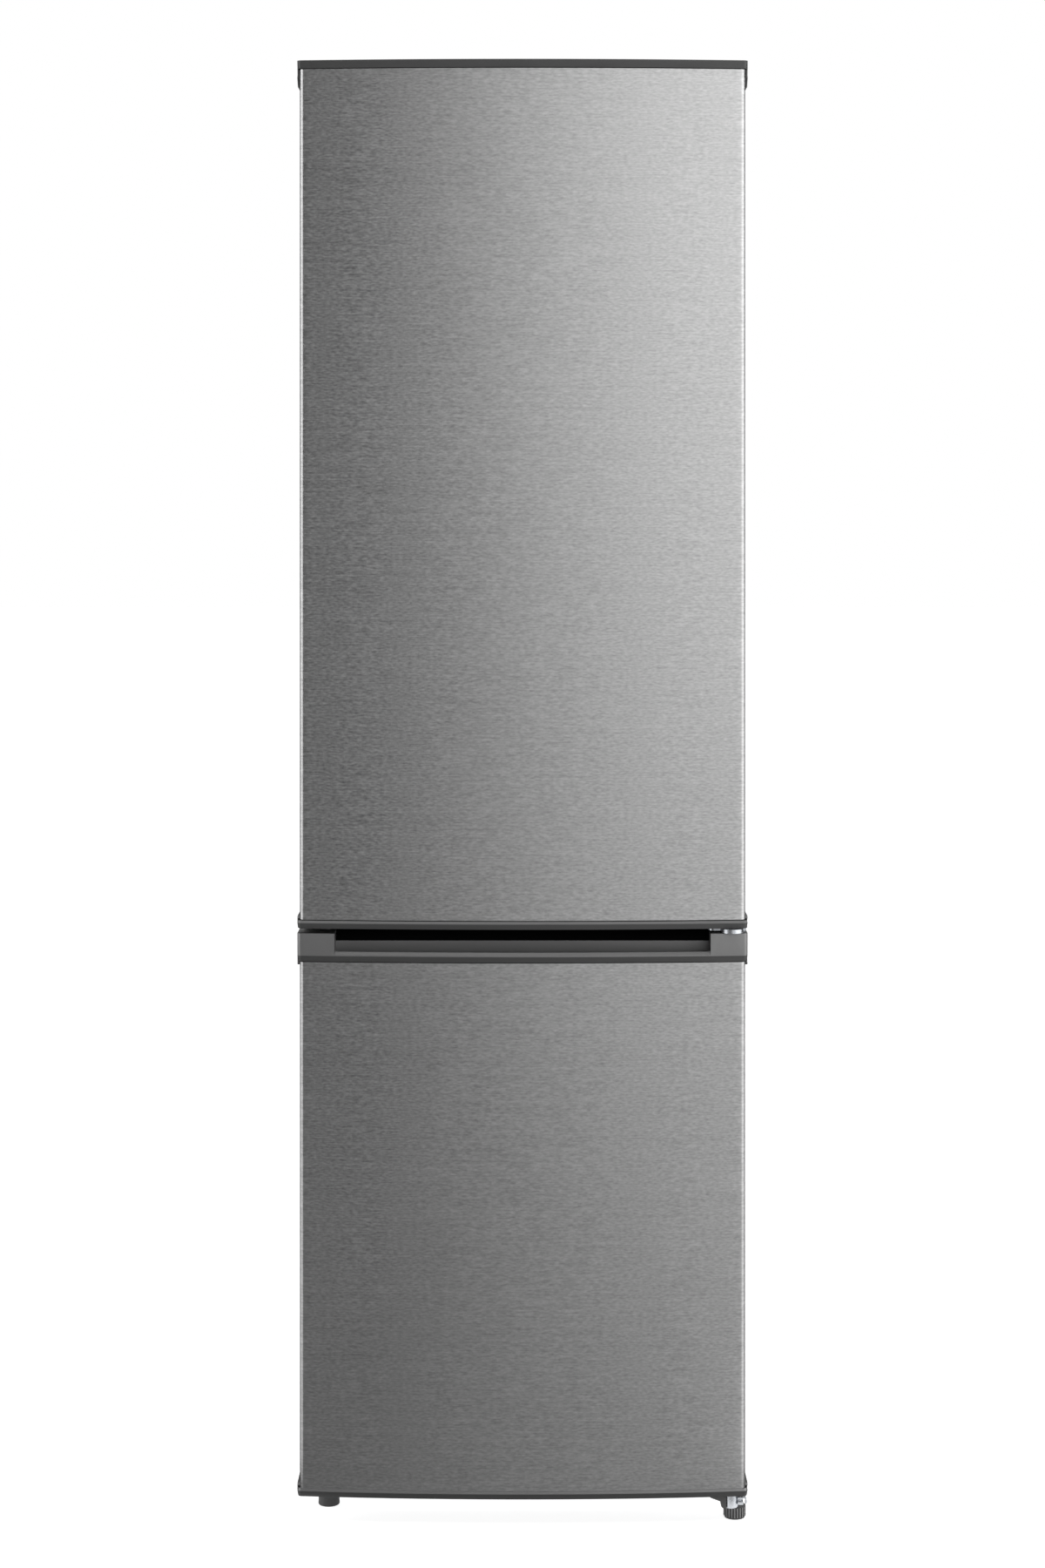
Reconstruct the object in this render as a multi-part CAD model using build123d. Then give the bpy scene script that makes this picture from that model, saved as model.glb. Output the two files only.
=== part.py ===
from build123d import *
from math import asin, cos, pi, radians, sin, sqrt
import os

# Bottom freezer refrigerator with both doors shut, in millimetres.
# +Z is up, +Y is the back and +X is the right seen from the front. The origin lies on the floor
# under the middle of the appliance. Left and right are those of someone who stands in front.

# Doors
cap_width = 554.0  # plastic end caps, the widest pieces
cap_side_overhang = 3.0
cap_front_overhang = 1.5
bow = 12.0  # the middle of a door stands this far in front of its sides
door_depth = 55.0
door_floor_gap = 36.7
end_cap_height = 9.7
freezer_panel_height = 647.3
handle_cap_height = 34.3
door_split_gap = 6.0
fridge_panel_height = 1046.6
door_sheet = 0.6
door_edge_radius = 4.0
door_return = 10.0
cap_plug_depth = 8.0
cap_plug_fit = 0.2
liner_sheet = 1.5
ear_drop = 21.0
ear_slant = 10.0
ear_depth = 38.0
low_ear_rise = 5.0

# Handle recess in the freezer door's top cap
scoop_end_block = 46.0  # solid end beside the recess
scoop_front_wall = 6.0
scoop_back = 39.5  # back wall, behind the front of the cap
scoop_floor_drop = 17.7  # below the steel panel's top edge
scoop_wall = 2.5
lip_height = 11.8
lip_chamfer = 3.4
scoop_mouth_radius = 13.0
scoop_floor_radius = 8.0

# Gaskets
gasket_gap = 10.0
gasket_air = 0.3
gasket_width = 16.0
gasket_bellows = 9.0
gasket_magnet = 13.0
gasket_base_thickness = 2.5
gasket_magnet_thickness = 2.7
gasket_side_margin = 18.0
gasket_end_margin = 14.0
gasket_split_margin = 9.0

# Cabinet
cabinet_side_inset = 4.5
cabinet_depth = 446.0
cabinet_floor = 45.0
cabinet_top_drop = 7.5
cabinet_sheet = 0.8
cabinet_corner = 6.0
front_return = 30.0
rear_space = 40.0
fridge_side_wall = 45.0
fridge_floor_wall = 49.0  # above the middle of the door gap
fridge_top_wall = 46.5
fridge_rear_wall = 50.0
fridge_corner = 18.0
freezer_side_wall = 57.5
freezer_floor_wall = 50.0
freezer_top_wall = 36.0  # below the middle of the door gap
freezer_rear_wall = 60.0
mullion_strip_height = 62.0
niche_front = 40.0  # compressor space: front wall, height of its slope and roof
niche_slope_low = 180.0
niche_slope_run = 50.0
niche_roof = 270.0
niche_wall = 55.0

# Hinges
hinge_side_inset = 19.0
hinge_set_back = 35.0
spare_hole_shift = 15.0
pin_radius = 4.0
pin_clearance = 0.06
bush_radius = 7.0
bush_end = 2.0
hinge_plate = 3.0
top_arm_half_width = 10.0
top_plate_length = 62.0
top_plate_width = 66.0
hinge_cover_side = 2.0
hinge_cover_top = 6.7
hinge_cover_wall = 1.5
pocket_left = 13.0
pocket_front = 18.5
pocket_deck = 1.8
middle_plate_air = 1.5
middle_collar_radius = 10.75
middle_collar_height = 5.0
middle_pocket_air = 2.5
middle_washer = 1.2
washer_radius = 8.0
middle_plate_left = 29.0
middle_plate_right = 16.0
hinge_flange_right = 9.0
hinge_flange_height = 20.0
hinge_flange_width = 70.0
low_arm_height = 24.0
low_arm_left = 26.0
low_arm_right = 14.0
sleeve_radius = 8.3
sleeve_bottom = 16.0
screw_radius = 2.5
screw_head_radius = 4.0
screw_head_height = 1.8
screw_length = 11.0

# Feet and rollers
right_foot_shift = 5.0  # from the hinge line
right_foot_set_back = 12.0
foot_knob_radius = 13.9
foot_knob_height = 14.3
foot_ribs = 24
foot_rib_depth = 0.9
foot_stud_radius = 4.0
right_stud_top = 33.0
left_foot_inset = 29.5
left_foot_set_back = 27.0
left_pad_radius = 13.5
left_pad_top_radius = 12.4
left_pad_height = 20.0
left_stud_top = 38.5
roller_radius = 14.0
roller_width = 12.0
roller_inset = 24.5
roller_set_in = 30.5
axle_radius = 3.0
roller_ear = 2.0
roller_ear_air = 0.5

# Fridge compartment
shelf_shares = (0.2019, 0.383, 0.5745, 0.7764)  # of the compartment's height
shelf_front = 115.0  # from the cabinet's front edge to the shelf's
shelf_thickness = 4.0
shelf_side_air = 4.0
shelf_rear_air = 6.0
ledge_reach = 10.0
ledge_thickness = 4.0
trim_depth = 14.0
trim_wall = 2.0
trim_fit = 0.1
crisper_side_air = 22.5
crisper_front = 120.5
crisper_length = 230.0
crisper_head_room = 22.7
console_half_width = 110.0
console_front = 60.0
console_length = 200.0
console_height = 26.0
console_wall = 2.5
knob_x = -62.0
knob_setback = 40.0
knob_radius = 17.0
knob_height = 13.0
knob_stem_radius = 4.0
lens_x = 45.0
lens_half_width = 36.0
lens_length = 110.0
lens_drop = 5.0
switch_x = 86.0
switch_radius = 3.5
gutter_rise = 150.0
drain_bore = 5.0

# Door fittings
dyke_depth = 40.0
dyke_width = 27.0
dyke_side_air = 15.5
dyke_end_air = 15.0
freezer_dyke_depth = 25.0
freezer_dyke_width = 15.0
freezer_dyke_side_air = 15.0
bin_shares = (0.766, 0.528)
bin_height = 75.0
bin_depth = 92.0
bottle_bin_rise = 70.0
bottle_bin_height = 110.0
bin_wall = 2.2
bin_side_air = 0.5
bin_corner = 14.0
bin_back_height = 30.0
lug_reach = 5.0
lug_height = 8.0
lug_depth = 22.0
lug_fit = 0.3

# Freezer drawers
drawer_side_air = 10.0
drawer_front = 45.5
drawer_wall = 2.5
drawer_corner = 12.0
drawer_lip = 12.0
drawer_lip_height = 9.0
drawer_head_room = 5.5
lower_drawer_head_room = 22.7
lower_drawer_rear_air = 10.0
drawer_rear_air = 24.0
slide_air = 0.3

# Evaporators, condenser and refrigerant circuit
shelf_tube_radius = 4.0
shelf_wire_radius = 1.5
shelf_wires = 11
shelf_tube_passes = 4
grid_step_air = 5.0
grid_ceiling_air = 12.0
grid_side_air = 19.0
grid_wire_margin = 60.0
grid_riser_set_back = 12.0
grid_riser_bend = 5.0
grid_ledge_reach = 20.0
grid_front = 60.0
plate_evaporator_width = 330.0
plate_evaporator_height = 520.0
plate_evaporator_drop = 160.0
plate_evaporator_sheet = 1.0
plate_tube_radius = 3.0
plate_passes = 5
condenser_tube_radius = 2.5
condenser_wire_radius = 0.8
condenser_side_inset = 57.5
condenser_low = 330.0
condenser_high = 1650.0
condenser_passes = 16
condenser_wires = 14
condenser_stand_off = 20.0
compressor_x = -70.0
compressor_y = 140.0
compressor_radius = 62.0
compressor_height = 150.0
compressor_seam = 4.0
rail_height = 40.0
rail_sheet = 1.5
rail_front = 70.0
rail_rear = 222.0
rail_side_inset = 36.5
rail_lip = 9.0
grommet_radius = 9.0
grommet_height = 12.0
grommet_inset = 46.0
tray_length = 150.0
tray_width = 110.0
tray_height = 34.0
tray_wall = 2.0
drier_radius = 9.0
drier_length = 90.0
drier_drop = 150.0  # its lower end, below the roof of the compressor space
pipe_bend = 12.0
pipe_low = 70.0
pipe_radius = 3.0

# Levels worked out from the heights above
freezer_door_low = door_floor_gap
freezer_panel_low = freezer_door_low + end_cap_height
handle_cap_low = freezer_panel_low + freezer_panel_height
freezer_door_high = handle_cap_low + handle_cap_height
fridge_door_low = freezer_door_high + door_split_gap
fridge_panel_low = fridge_door_low + end_cap_height
top_cap_low = fridge_panel_low + fridge_panel_height
overall_height = top_cap_low + end_cap_height
cabinet_top = overall_height - cabinet_top_drop
pocket_floor = top_cap_low + pocket_deck
mullion_middle = (freezer_door_high + fridge_door_low) / 2
fridge_floor = mullion_middle + fridge_floor_wall
fridge_ceiling = cabinet_top - fridge_top_wall
freezer_floor = cabinet_floor + freezer_floor_wall
freezer_ceiling = mullion_middle - freezer_top_wall
fridge_room = fridge_ceiling - fridge_floor
shelf_levels = tuple(fridge_floor + share * fridge_room for share in shelf_shares)
bin_levels = tuple(fridge_floor + share * fridge_room for share in bin_shares)
bottle_bin_level = fridge_floor + bottle_bin_rise
grid_low = niche_roof + niche_wall + grid_step_air
grid_high = freezer_ceiling - grid_ceiling_air
grid_levels = (grid_low, (grid_low + grid_high) / 2, grid_high)
drier_low = niche_roof - drier_drop

# Places from front to back
overall_depth = door_depth + gasket_gap + cabinet_depth + rear_space
front_y = -overall_depth / 2
door_back = front_y + door_depth
cabinet_front = door_back + gasket_gap
cabinet_back = cabinet_front + cabinet_depth
rear_y = cabinet_back + rear_space
fridge_back = cabinet_back - fridge_rear_wall
freezer_back = cabinet_back - freezer_rear_wall
left_foot_y = cabinet_front + left_foot_set_back
roller_y = cabinet_back - roller_set_in

# Places across
cap_half = cap_width / 2
panel_half = cap_half - cap_side_overhang
cabinet_half = cap_half - cabinet_side_inset
scoop_half_width = cap_half - scoop_end_block
hinge_x = cap_half - hinge_side_inset
hinge_y = front_y + hinge_set_back
right_foot_x = hinge_x + right_foot_shift
right_foot_y = hinge_y + right_foot_set_back
left_foot_x = left_foot_inset - cabinet_half
roller_x = cabinet_half - roller_inset
fridge_half_width = cabinet_half - fridge_side_wall
freezer_half_width = cabinet_half - freezer_side_wall
dyke_half_width = fridge_half_width - dyke_side_air
freezer_dyke_half_width = freezer_half_width - freezer_dyke_side_air
crisper_half_width = fridge_half_width - crisper_side_air
drawer_half_width = freezer_half_width - drawer_side_air
grid_half_width = freezer_half_width - grid_side_air
condenser_half_width = cabinet_half - condenser_side_inset
rail_half_width = cabinet_half - rail_side_inset
bow_radius = (panel_half ** 2 + bow ** 2) / (2 * bow)
bow_centre = front_y + bow_radius
EPS = 1.0  # how far a cutting shape runs past the face it cuts


# Shared shapes

def prism(face, low, high):
    """An upright solid with this plan between two levels."""
    return extrude(Pos(0, 0, low) * face, amount=high - low, dir=(0, 0, 1))


def block(x, y, z):
    """A square block, each argument being its low and high limit along one axis."""
    centre = Pos((x[0] + x[1]) / 2, (y[0] + y[1]) / 2, (z[0] + z[1]) / 2)
    return centre * Box(x[1] - x[0], y[1] - y[0], z[1] - z[0])


def upright(x, y, low, high, radius):
    """An upright round bar."""
    return Pos(x, y, (low + high) / 2) * Cylinder(radius, high - low)


def across(profile, left, right):
    """A solid with this side profile, drawn as (y, z), between two places across."""
    return extrude(Pos(left, 0, 0) * (Plane.YZ * profile), amount=right - left, dir=(1, 0, 0))


def along(profile, front, back):
    """A solid with this front profile, drawn as (x, z), between two places in depth."""
    turned = Plane(origin=(0, front, 0), x_dir=(1, 0, 0), z_dir=(0, -1, 0)) * profile
    return extrude(turned, amount=back - front, dir=(0, 1, 0))


def outline(points):
    """A flat face inside a closed run of straight lines."""
    return make_face(Polyline(*points, close=True))


def offset_run(points, thickness):
    """The points of a bent line moved sideways to its left, mitred at the bends."""
    run = [Vector(*point) for point in points]
    ways = [(end - start).normalized() for start, end in zip(run, run[1:])]
    sides = [Vector(-way.Y, way.X) for way in ways]
    joints = [sides[0]]
    for before, after in zip(sides, sides[1:]):
        middle = before + after
        joints.append(middle * (2 / middle.dot(middle)))
    joints.append(sides[-1])
    far = [point + joint * thickness for point, joint in zip(run, joints)]
    return [(point.X, point.Y) for point in far]


def bent_sheet(points, thickness):
    """The section of a sheet bent along the points, thickened to the left of the run."""
    return outline(points + offset_run(points, thickness)[::-1])


def rounded(width, height, radius):
    """A rectangle with round corners, centred."""
    return RectangleRounded(width, height, radius)


def serpentine_reach(half_width, low, high, passes):
    """How far a serpentine's straight runs go to each side before they bend."""
    return half_width - (high - low) / (passes - 1) / 2


def serpentine(half_width, low, high, passes, radius):
    """A tube that runs from side to side and climbs in U bends, drawn flat as (across, up)."""
    pitch = (high - low) / (passes - 1)
    bend = pitch / 2
    reach = serpentine_reach(half_width, low, high, passes)
    edges = []
    for index in range(passes):
        level = low + index * pitch
        way = 1 if index % 2 == 0 else -1
        edges += Line((-way * reach, level), (way * reach, level)).edges()
        if index < passes - 1:
            turn = ThreePointArc((way * reach, level), (way * half_width, level + bend),
                                 (way * reach, level + pitch))
            edges += turn.edges()
    path = Wire(edges)
    start = Plane(origin=path @ 0, z_dir=path % 0)
    return sweep(start * Circle(radius), path=path)


def piped(points, radii, radius):
    """A round pipe along straight runs joined by arcs."""
    path = FilletPolyline(*points, radius=radii)
    start = Plane(origin=path @ 0, z_dir=path % 0)
    return sweep(start * Circle(radius), path=path)


# Door pieces

def door_outline(half_width, front_inset, back, corner):
    """The plan of a door piece: bowed front, round front corners, straight sides, flat back."""
    radius = bow_radius - front_inset
    side_y = bow_centre - sqrt(radius ** 2 - half_width ** 2)
    sides = Polyline((-half_width, side_y), (-half_width, back), (half_width, back),
                     (half_width, side_y))
    front = ThreePointArc((half_width, side_y), (0, bow_centre - radius), (-half_width, side_y))
    face = make_face(sides.edges() + front.edges())
    return fillet(face.vertices().group_by(Axis.Y)[0], corner)


def cap_outline():
    """The plan of a plastic end cap, which stands proud of the panel."""
    return door_outline(cap_half, 0, door_back, door_edge_radius + cap_side_overhang / 2)


def core_outline(inset):
    """The plan of what lies inside a door's steel panel, against its liner."""
    return door_outline(panel_half - door_sheet - inset, cap_front_overhang + door_sheet + inset,
                        door_back - liner_sheet, door_edge_radius - door_sheet - inset)


def door_panel(low, high):
    """Bowed steel skin with returned rear edges."""
    outer = door_outline(panel_half, cap_front_overhang, door_back, door_edge_radius)
    inner = door_outline(panel_half - door_sheet, cap_front_overhang + door_sheet,
                         door_back - door_sheet, door_edge_radius - door_sheet)
    mouth = Pos(0, door_back) * Rectangle(2 * (panel_half - door_return), 4 * door_sheet)
    return prism(outer - inner - mouth, low, high)


def pin_bush(low, high, opens_down):
    """A flanged-in plastic cup that turns on a hinge pin."""
    bore = (low - EPS, high - bush_end) if opens_down else (low + bush_end, high + EPS)
    cup = upright(hinge_x, hinge_y, low, high, bush_radius)
    return cup - upright(hinge_x, hinge_y, *bore, pin_radius + pin_clearance)


def cap_ears(edge, reach, slant):
    """The two side tongues of an end cap, from the cap's edge to reach past it, slanted in front."""
    front = door_back - ear_depth
    shape = outline([(front, edge), (front, edge + reach - slant), (front + abs(slant), edge + reach),
                     (door_back, edge + reach), (door_back, edge)])
    return across(shape, -cap_half, -panel_half) + across(shape, panel_half, cap_half)


def fridge_door_top_cap():
    """Upper end cap with the open pocket in which the top hinge's arm swings."""
    cap = prism(cap_outline(), top_cap_low, overall_height)
    cap += prism(core_outline(cap_plug_fit), top_cap_low - cap_plug_depth, top_cap_low)
    cap += cap_ears(top_cap_low, -ear_drop, -ear_slant)
    pocket = block((hinge_x - pocket_left, cap_half + EPS),
                   (hinge_y - pocket_front, door_back + EPS), (pocket_floor, overall_height + EPS))
    cap -= fillet(pocket.edges().filter_by(Axis.Z).group_by(Axis.Y)[0].group_by(Axis.X)[0], 5)
    return cap - upright(hinge_x, hinge_y, 0, overall_height, bush_radius)


def low_end_cap(low):
    """Lower end cap of a door: a plate with a plug, low ears and the bush's seat."""
    high = low + end_cap_height
    cap = prism(cap_outline(), low, high)
    cap += prism(core_outline(cap_plug_fit), high, high + cap_plug_depth)
    cap += cap_ears(high, low_ear_rise, low_ear_rise / 2)
    return cap - upright(hinge_x, hinge_y, low - EPS, high + cap_plug_depth, bush_radius)


def fridge_door_bottom_cap():
    """Lower end cap of the fridge door, with the plug of the spare hinge hole under its left end."""
    plug = upright(-hinge_x + spare_hole_shift, hinge_y, fridge_door_low - 3.3, fridge_door_low, washer_radius)
    return low_end_cap(fridge_door_low) + plug


def scoop_shape(wall):
    """The finger recess as a solid, grown by a wall thickness all round."""
    half = scoop_half_width + wall
    back = front_y + scoop_back + wall
    plan = door_outline(half, scoop_front_wall - wall, back, scoop_floor_radius + wall)
    low = handle_cap_low - scoop_floor_drop - wall
    well = prism(plan, low, handle_cap_low + lip_height)
    return fillet(well.edges().group_by(Axis.Z)[0], scoop_floor_radius)


def freezer_door_handle_cap():
    """Top cap of the freezer door, which is the handle: a bowed lip in front of a finger scoop."""
    lip_top = handle_cap_low + lip_height
    cap = prism(cap_outline(), handle_cap_low, freezer_door_high)
    cap += prism(core_outline(cap_plug_fit), handle_cap_low - cap_plug_depth, handle_cap_low)
    cap += scoop_shape(scoop_wall) & prism(core_outline(cap_plug_fit), 0, lip_top)
    cap += cap_ears(handle_cap_low, -low_ear_rise, -low_ear_rise / 2)
    back = front_y + scoop_back
    radius = scoop_mouth_radius
    high = freezer_door_high
    mouth = Polyline((back, high - radius), (back, lip_top), (front_y - EPS, lip_top),
                     (front_y - EPS, high + EPS), (back + radius, high + EPS), (back + radius, high))
    bulge = radius * (1 - cos(radians(45)))
    roll = ThreePointArc((back + radius, high), (back + bulge, high - bulge), (back, high - radius))
    cap -= across(make_face(mouth.edges() + roll.edges()), -scoop_half_width, scoop_half_width)
    cap -= scoop_shape(0)
    cap -= lip_bevel(lip_top)
    cap -= upright(hinge_x, hinge_y, mullion_plate_low() - middle_collar_height - middle_pocket_air,
                   freezer_door_high + EPS, middle_collar_radius + EPS)
    return cap - upright(hinge_x, hinge_y, handle_cap_low - cap_plug_depth - EPS,
                         freezer_door_high, bush_radius)


def lip_bevel(lip_top):
    """What is planed off the lip's front edge between the end blocks, following the bow."""
    low = lip_top - lip_chamfer
    edge = door_outline(cap_half, 0, door_back, 1)
    set_back = door_outline(cap_half - lip_chamfer, lip_chamfer, door_back, 1)
    kept = loft([Pos(0, 0, low) * edge, Pos(0, 0, lip_top) * set_back], ruled=True)
    front = block((-scoop_half_width, scoop_half_width),
                  (front_y - EPS, front_y + bow + lip_chamfer), (low, lip_top))
    return front - kept


def mullion_plate_low():
    """Underside of the middle hinge's plate, in the gap between the doors."""
    return freezer_door_high + middle_plate_air


def dyke(depth, width, half_width, low, high, shrink):
    """The raised rim inside a door, as a solid ring shrunk by a sheet thickness."""
    middle = (low + high) / 2
    outer = Pos(0, middle) * rounded(2 * (half_width - shrink), high - low - 2 * shrink, 16)
    inner_half = half_width - width + shrink
    inner = Pos(0, middle) * rounded(2 * inner_half, high - low - 2 * (width - shrink), 10)
    return along(outer - inner, door_back - liner_sheet, door_back + depth - shrink)


def fridge_dyke(shrink):
    """Raised rim of the fridge door, tall enough to seal round the compartment."""
    return dyke(dyke_depth, dyke_width, dyke_half_width, fridge_floor + dyke_end_air,
                fridge_ceiling - dyke_end_air, shrink)


def freezer_dyke(shrink):
    """Raised rim of the freezer door."""
    return dyke(freezer_dyke_depth, freezer_dyke_width, freezer_dyke_half_width,
                freezer_floor + dyke_end_air, freezer_ceiling - dyke_end_air, shrink)


def bin_lugs(levels):
    """The lugs on the rim's inner sides that a bin hooks over, one pair for each bin."""
    inner = dyke_half_width - dyke_width
    front = door_back + dyke_depth - lug_depth - 6
    pair = []
    for level in levels:
        for side in (-1, 1):
            ends = sorted((side * inner, side * (inner - lug_reach)))
            pair.append(block(ends, (front, front + lug_depth), (level, level + lug_height)))
    return pair


def door_liner(low, high, rim_outer, rim_core):
    """Formed plastic inner skin of a door: a flat sheet with a hollow rim."""
    sheet = block((door_return - panel_half, panel_half - door_return),
                  (door_back - liner_sheet, door_back), (low, high))
    return sheet + rim_outer - rim_core


def fridge_door_liner():
    """Inner skin of the fridge door with the lugs for its bins."""
    liner = door_liner(fridge_panel_low, top_cap_low, fridge_dyke(0), fridge_dyke(liner_sheet))
    for lug in bin_lugs(bin_levels + (bottle_bin_level,)):
        liner += lug
    return liner


def door_foam(low, high):
    """Insulation that fills a door between its caps, its panel and its liner."""
    return prism(core_outline(0), low, high)


def fridge_door_foam():
    """Insulation of the fridge door: the slab, and the four cores of the raised rim on it."""
    slab = door_foam(fridge_panel_low + cap_plug_depth, top_cap_low - cap_plug_depth)
    rim = fridge_dyke(liner_sheet)
    inner = dyke_half_width - dyke_width + liner_sheet
    reach = dyke_half_width
    depth = (door_back - liner_sheet, door_back + dyke_depth)
    low, middle, high = fridge_floor, (fridge_floor + fridge_ceiling) / 2, fridge_ceiling
    bounds = [((-reach, -inner), (low, high)), ((inner, reach), (low, high)),
              ((-inner, inner), (low, middle)), ((-inner, inner), (middle, high))]
    return [slab] + [rim & block(across_door, depth, upward) for across_door, upward in bounds]


def freezer_door_foam():
    """Insulation of the freezer door, poured round the finger scoop."""
    foam = door_foam(freezer_panel_low + cap_plug_depth, handle_cap_low - cap_plug_depth)
    foam += freezer_dyke(liner_sheet)
    return foam - scoop_shape(scoop_wall)


def gasket(low, high):
    """Magnetic seal: a base strip, a bellows and the magnet pad, mitred into a frame."""
    half = cap_half - gasket_side_margin
    middle = (low + high) / 2
    height = high - low
    inset = gasket_width / 2

    def frame(width, front, back):
        outer = Pos(0, middle) * Rectangle(2 * (half - inset) + width, height - 2 * inset + width)
        inner = Pos(0, middle) * Rectangle(2 * (half - inset) - width, height - 2 * inset - width)
        return along(outer - inner, front, back)

    thickness = gasket_gap - gasket_air
    bellows_front = door_back + gasket_base_thickness
    magnet_front = door_back + thickness - gasket_magnet_thickness
    seal = frame(gasket_width, door_back, bellows_front)
    seal += frame(gasket_bellows, bellows_front, magnet_front)
    return seal + frame(gasket_magnet, magnet_front, door_back + thickness)


def door_bin(level, height):
    """A door tray hooked over the lugs: high round front, low back, open top."""
    half = dyke_half_width - dyke_width - bin_side_air
    back = door_back + bin_side_air
    front = back + bin_depth
    plan = fillet(outline([(-half, back), (half, back), (half, front), (-half, front)])
                  .vertices().group_by(Axis.Y)[-1], bin_corner)
    hollow = fillet(outline([(bin_wall - half, back + bin_wall), (half - bin_wall, back + bin_wall),
                             (half - bin_wall, front - bin_wall), (bin_wall - half, front - bin_wall)])
                    .vertices().group_by(Axis.Y)[-1], bin_corner - bin_wall)
    tray = prism(plan, level, level + height)
    tray -= prism(hollow, level + bin_wall, level + height + EPS)
    sweep_down = outline([(back - EPS, level + height + EPS), (back - EPS, level + bin_back_height),
                          (back + bin_depth * 0.45, level + bin_back_height),
                          (back + bin_depth * 0.7, level + height),
                          (back + bin_depth * 0.7, level + height + EPS)])
    tray -= across(sweep_down, -half - EPS, half + EPS)
    return tray


def hooked_bin(level, height):
    """A door tray with the notches that sit on its lugs."""
    tray = door_bin(level, height)
    inner = dyke_half_width - dyke_width
    front = door_back + dyke_depth - lug_depth - 6
    for side in (-1, 1):
        ends = sorted((side * (inner + EPS), side * (inner - lug_reach - lug_fit)))
        pad_ends = sorted((side * (inner - bin_side_air), side * (inner - lug_reach - 3)))
        tray += block(pad_ends, (front - 4, front + lug_depth + 4),
                      (level, level + lug_height + 4))
        tray -= block(ends, (front - lug_fit, front + lug_depth + lug_fit),
                      (level - EPS, level + lug_height))
    return tray


# Cabinet

def cabinet_shell():
    """Painted steel wrapper over both sides and the top, returned along the front."""
    depth = (cabinet_front, cabinet_back)
    middle = (cabinet_floor + cabinet_top) / 2
    height = cabinet_top - cabinet_floor
    face = Pos(0, middle) * Rectangle(2 * cabinet_half, height)
    outer = fillet(face.vertices().group_by(Axis.Y)[-1], cabinet_corner)
    hollow = Pos(0, middle - cabinet_sheet) * Rectangle(2 * (cabinet_half - cabinet_sheet), height)
    hollow = fillet(hollow.vertices().group_by(Axis.Y)[-1], cabinet_corner - cabinet_sheet)
    mouth = Pos(0, middle) * Rectangle(2 * (cabinet_half - front_return), height - 2 * front_return)
    shell = along(outer - hollow, *depth)
    return shell + along(outer - mouth, cabinet_front, cabinet_front + cabinet_sheet)


def niche_run():
    """The underside of the cabinet: floor, upright, slope and the compressor space's roof."""
    return [(cabinet_front + cabinet_sheet, cabinet_floor), (niche_front, cabinet_floor),
            (niche_front, niche_slope_low), (niche_front + niche_slope_run, niche_roof),
            (cabinet_back, niche_roof)]


def base_sheet():
    """Galvanised floor, bent up and back over the compressor space."""
    section = bent_sheet(niche_run(), cabinet_sheet)
    inner = cabinet_half - cabinet_sheet
    level = fridge_floor + gutter_rise + 12
    return across(section, -inner, inner) - drain_tube_shape(drain_bore + tray_wall, level)


def back_panel():
    """Flat steel back from the compressor space to the top, inside the wrapper."""
    inner = cabinet_half - cabinet_sheet
    low = niche_roof + cabinet_sheet
    high = cabinet_top - cabinet_sheet
    face = Pos(0, (low + high) / 2) * Rectangle(2 * inner, high - low)
    face = fillet(face.vertices().group_by(Axis.Y)[-1], cabinet_corner - cabinet_sheet)
    return along(face, cabinet_back - cabinet_sheet, cabinet_back)


def mullion_strip():
    """Steel strip between the compartments that both seals grip."""
    inner = cabinet_half - front_return
    half = mullion_strip_height / 2
    return block((-inner, inner), (cabinet_front, cabinet_front + cabinet_sheet),
                 (mullion_middle - half, mullion_middle + half))


def fridge_cavity(grow):
    """The upper compartment as a solid, grown by a liner thickness."""
    half = fridge_half_width + grow
    room = block((-half, half), (cabinet_front - EPS, fridge_back + grow),
                 (fridge_floor - grow, fridge_ceiling + grow))
    walls = room.faces().sort_by(Axis.Y)[0].edges()
    inner = [edge for edge in room.edges() if edge not in walls]
    return fillet(inner, fridge_corner + grow)


def freezer_section(grow):
    """Side profile of the lower compartment, stepped over the compressor space."""
    step_front = niche_front - niche_wall
    face = outline([(cabinet_front - EPS, freezer_floor - grow),
                    (step_front + grow, freezer_floor - grow),
                    (step_front + grow, niche_slope_low + niche_wall / 2),
                    (niche_front + niche_slope_run, niche_roof + niche_wall - grow),
                    (freezer_back + grow, niche_roof + niche_wall - grow),
                    (freezer_back + grow, freezer_ceiling + grow),
                    (cabinet_front - EPS, freezer_ceiling + grow)])
    return fillet(face.vertices().group_by(Axis.Y)[-1], 14 + grow)


def freezer_cavity(grow):
    """The lower compartment as a solid, grown by a liner thickness."""
    half = freezer_half_width + grow
    return across(freezer_section(grow), -half, half)


def liner_flange(low, high):
    """The liner's flat rim on the cabinet's front, inside the steel return."""
    inner = cabinet_half - front_return
    return block((-inner, inner), (cabinet_front, cabinet_front + liner_sheet), (low, high))


def shelf_ledges():
    """Moulded ledges down both sides of the fridge liner that carry the glass shelves."""
    front = cabinet_front + shelf_front - 5
    ledges = []
    for level in shelf_levels:
        for side in (-1, 1):
            ends = sorted((side * fridge_half_width, side * (fridge_half_width - ledge_reach)))
            ledges.append(block(ends, (front, fridge_back - fridge_corner),
                                (level - ledge_thickness, level)))
    return ledges


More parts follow.
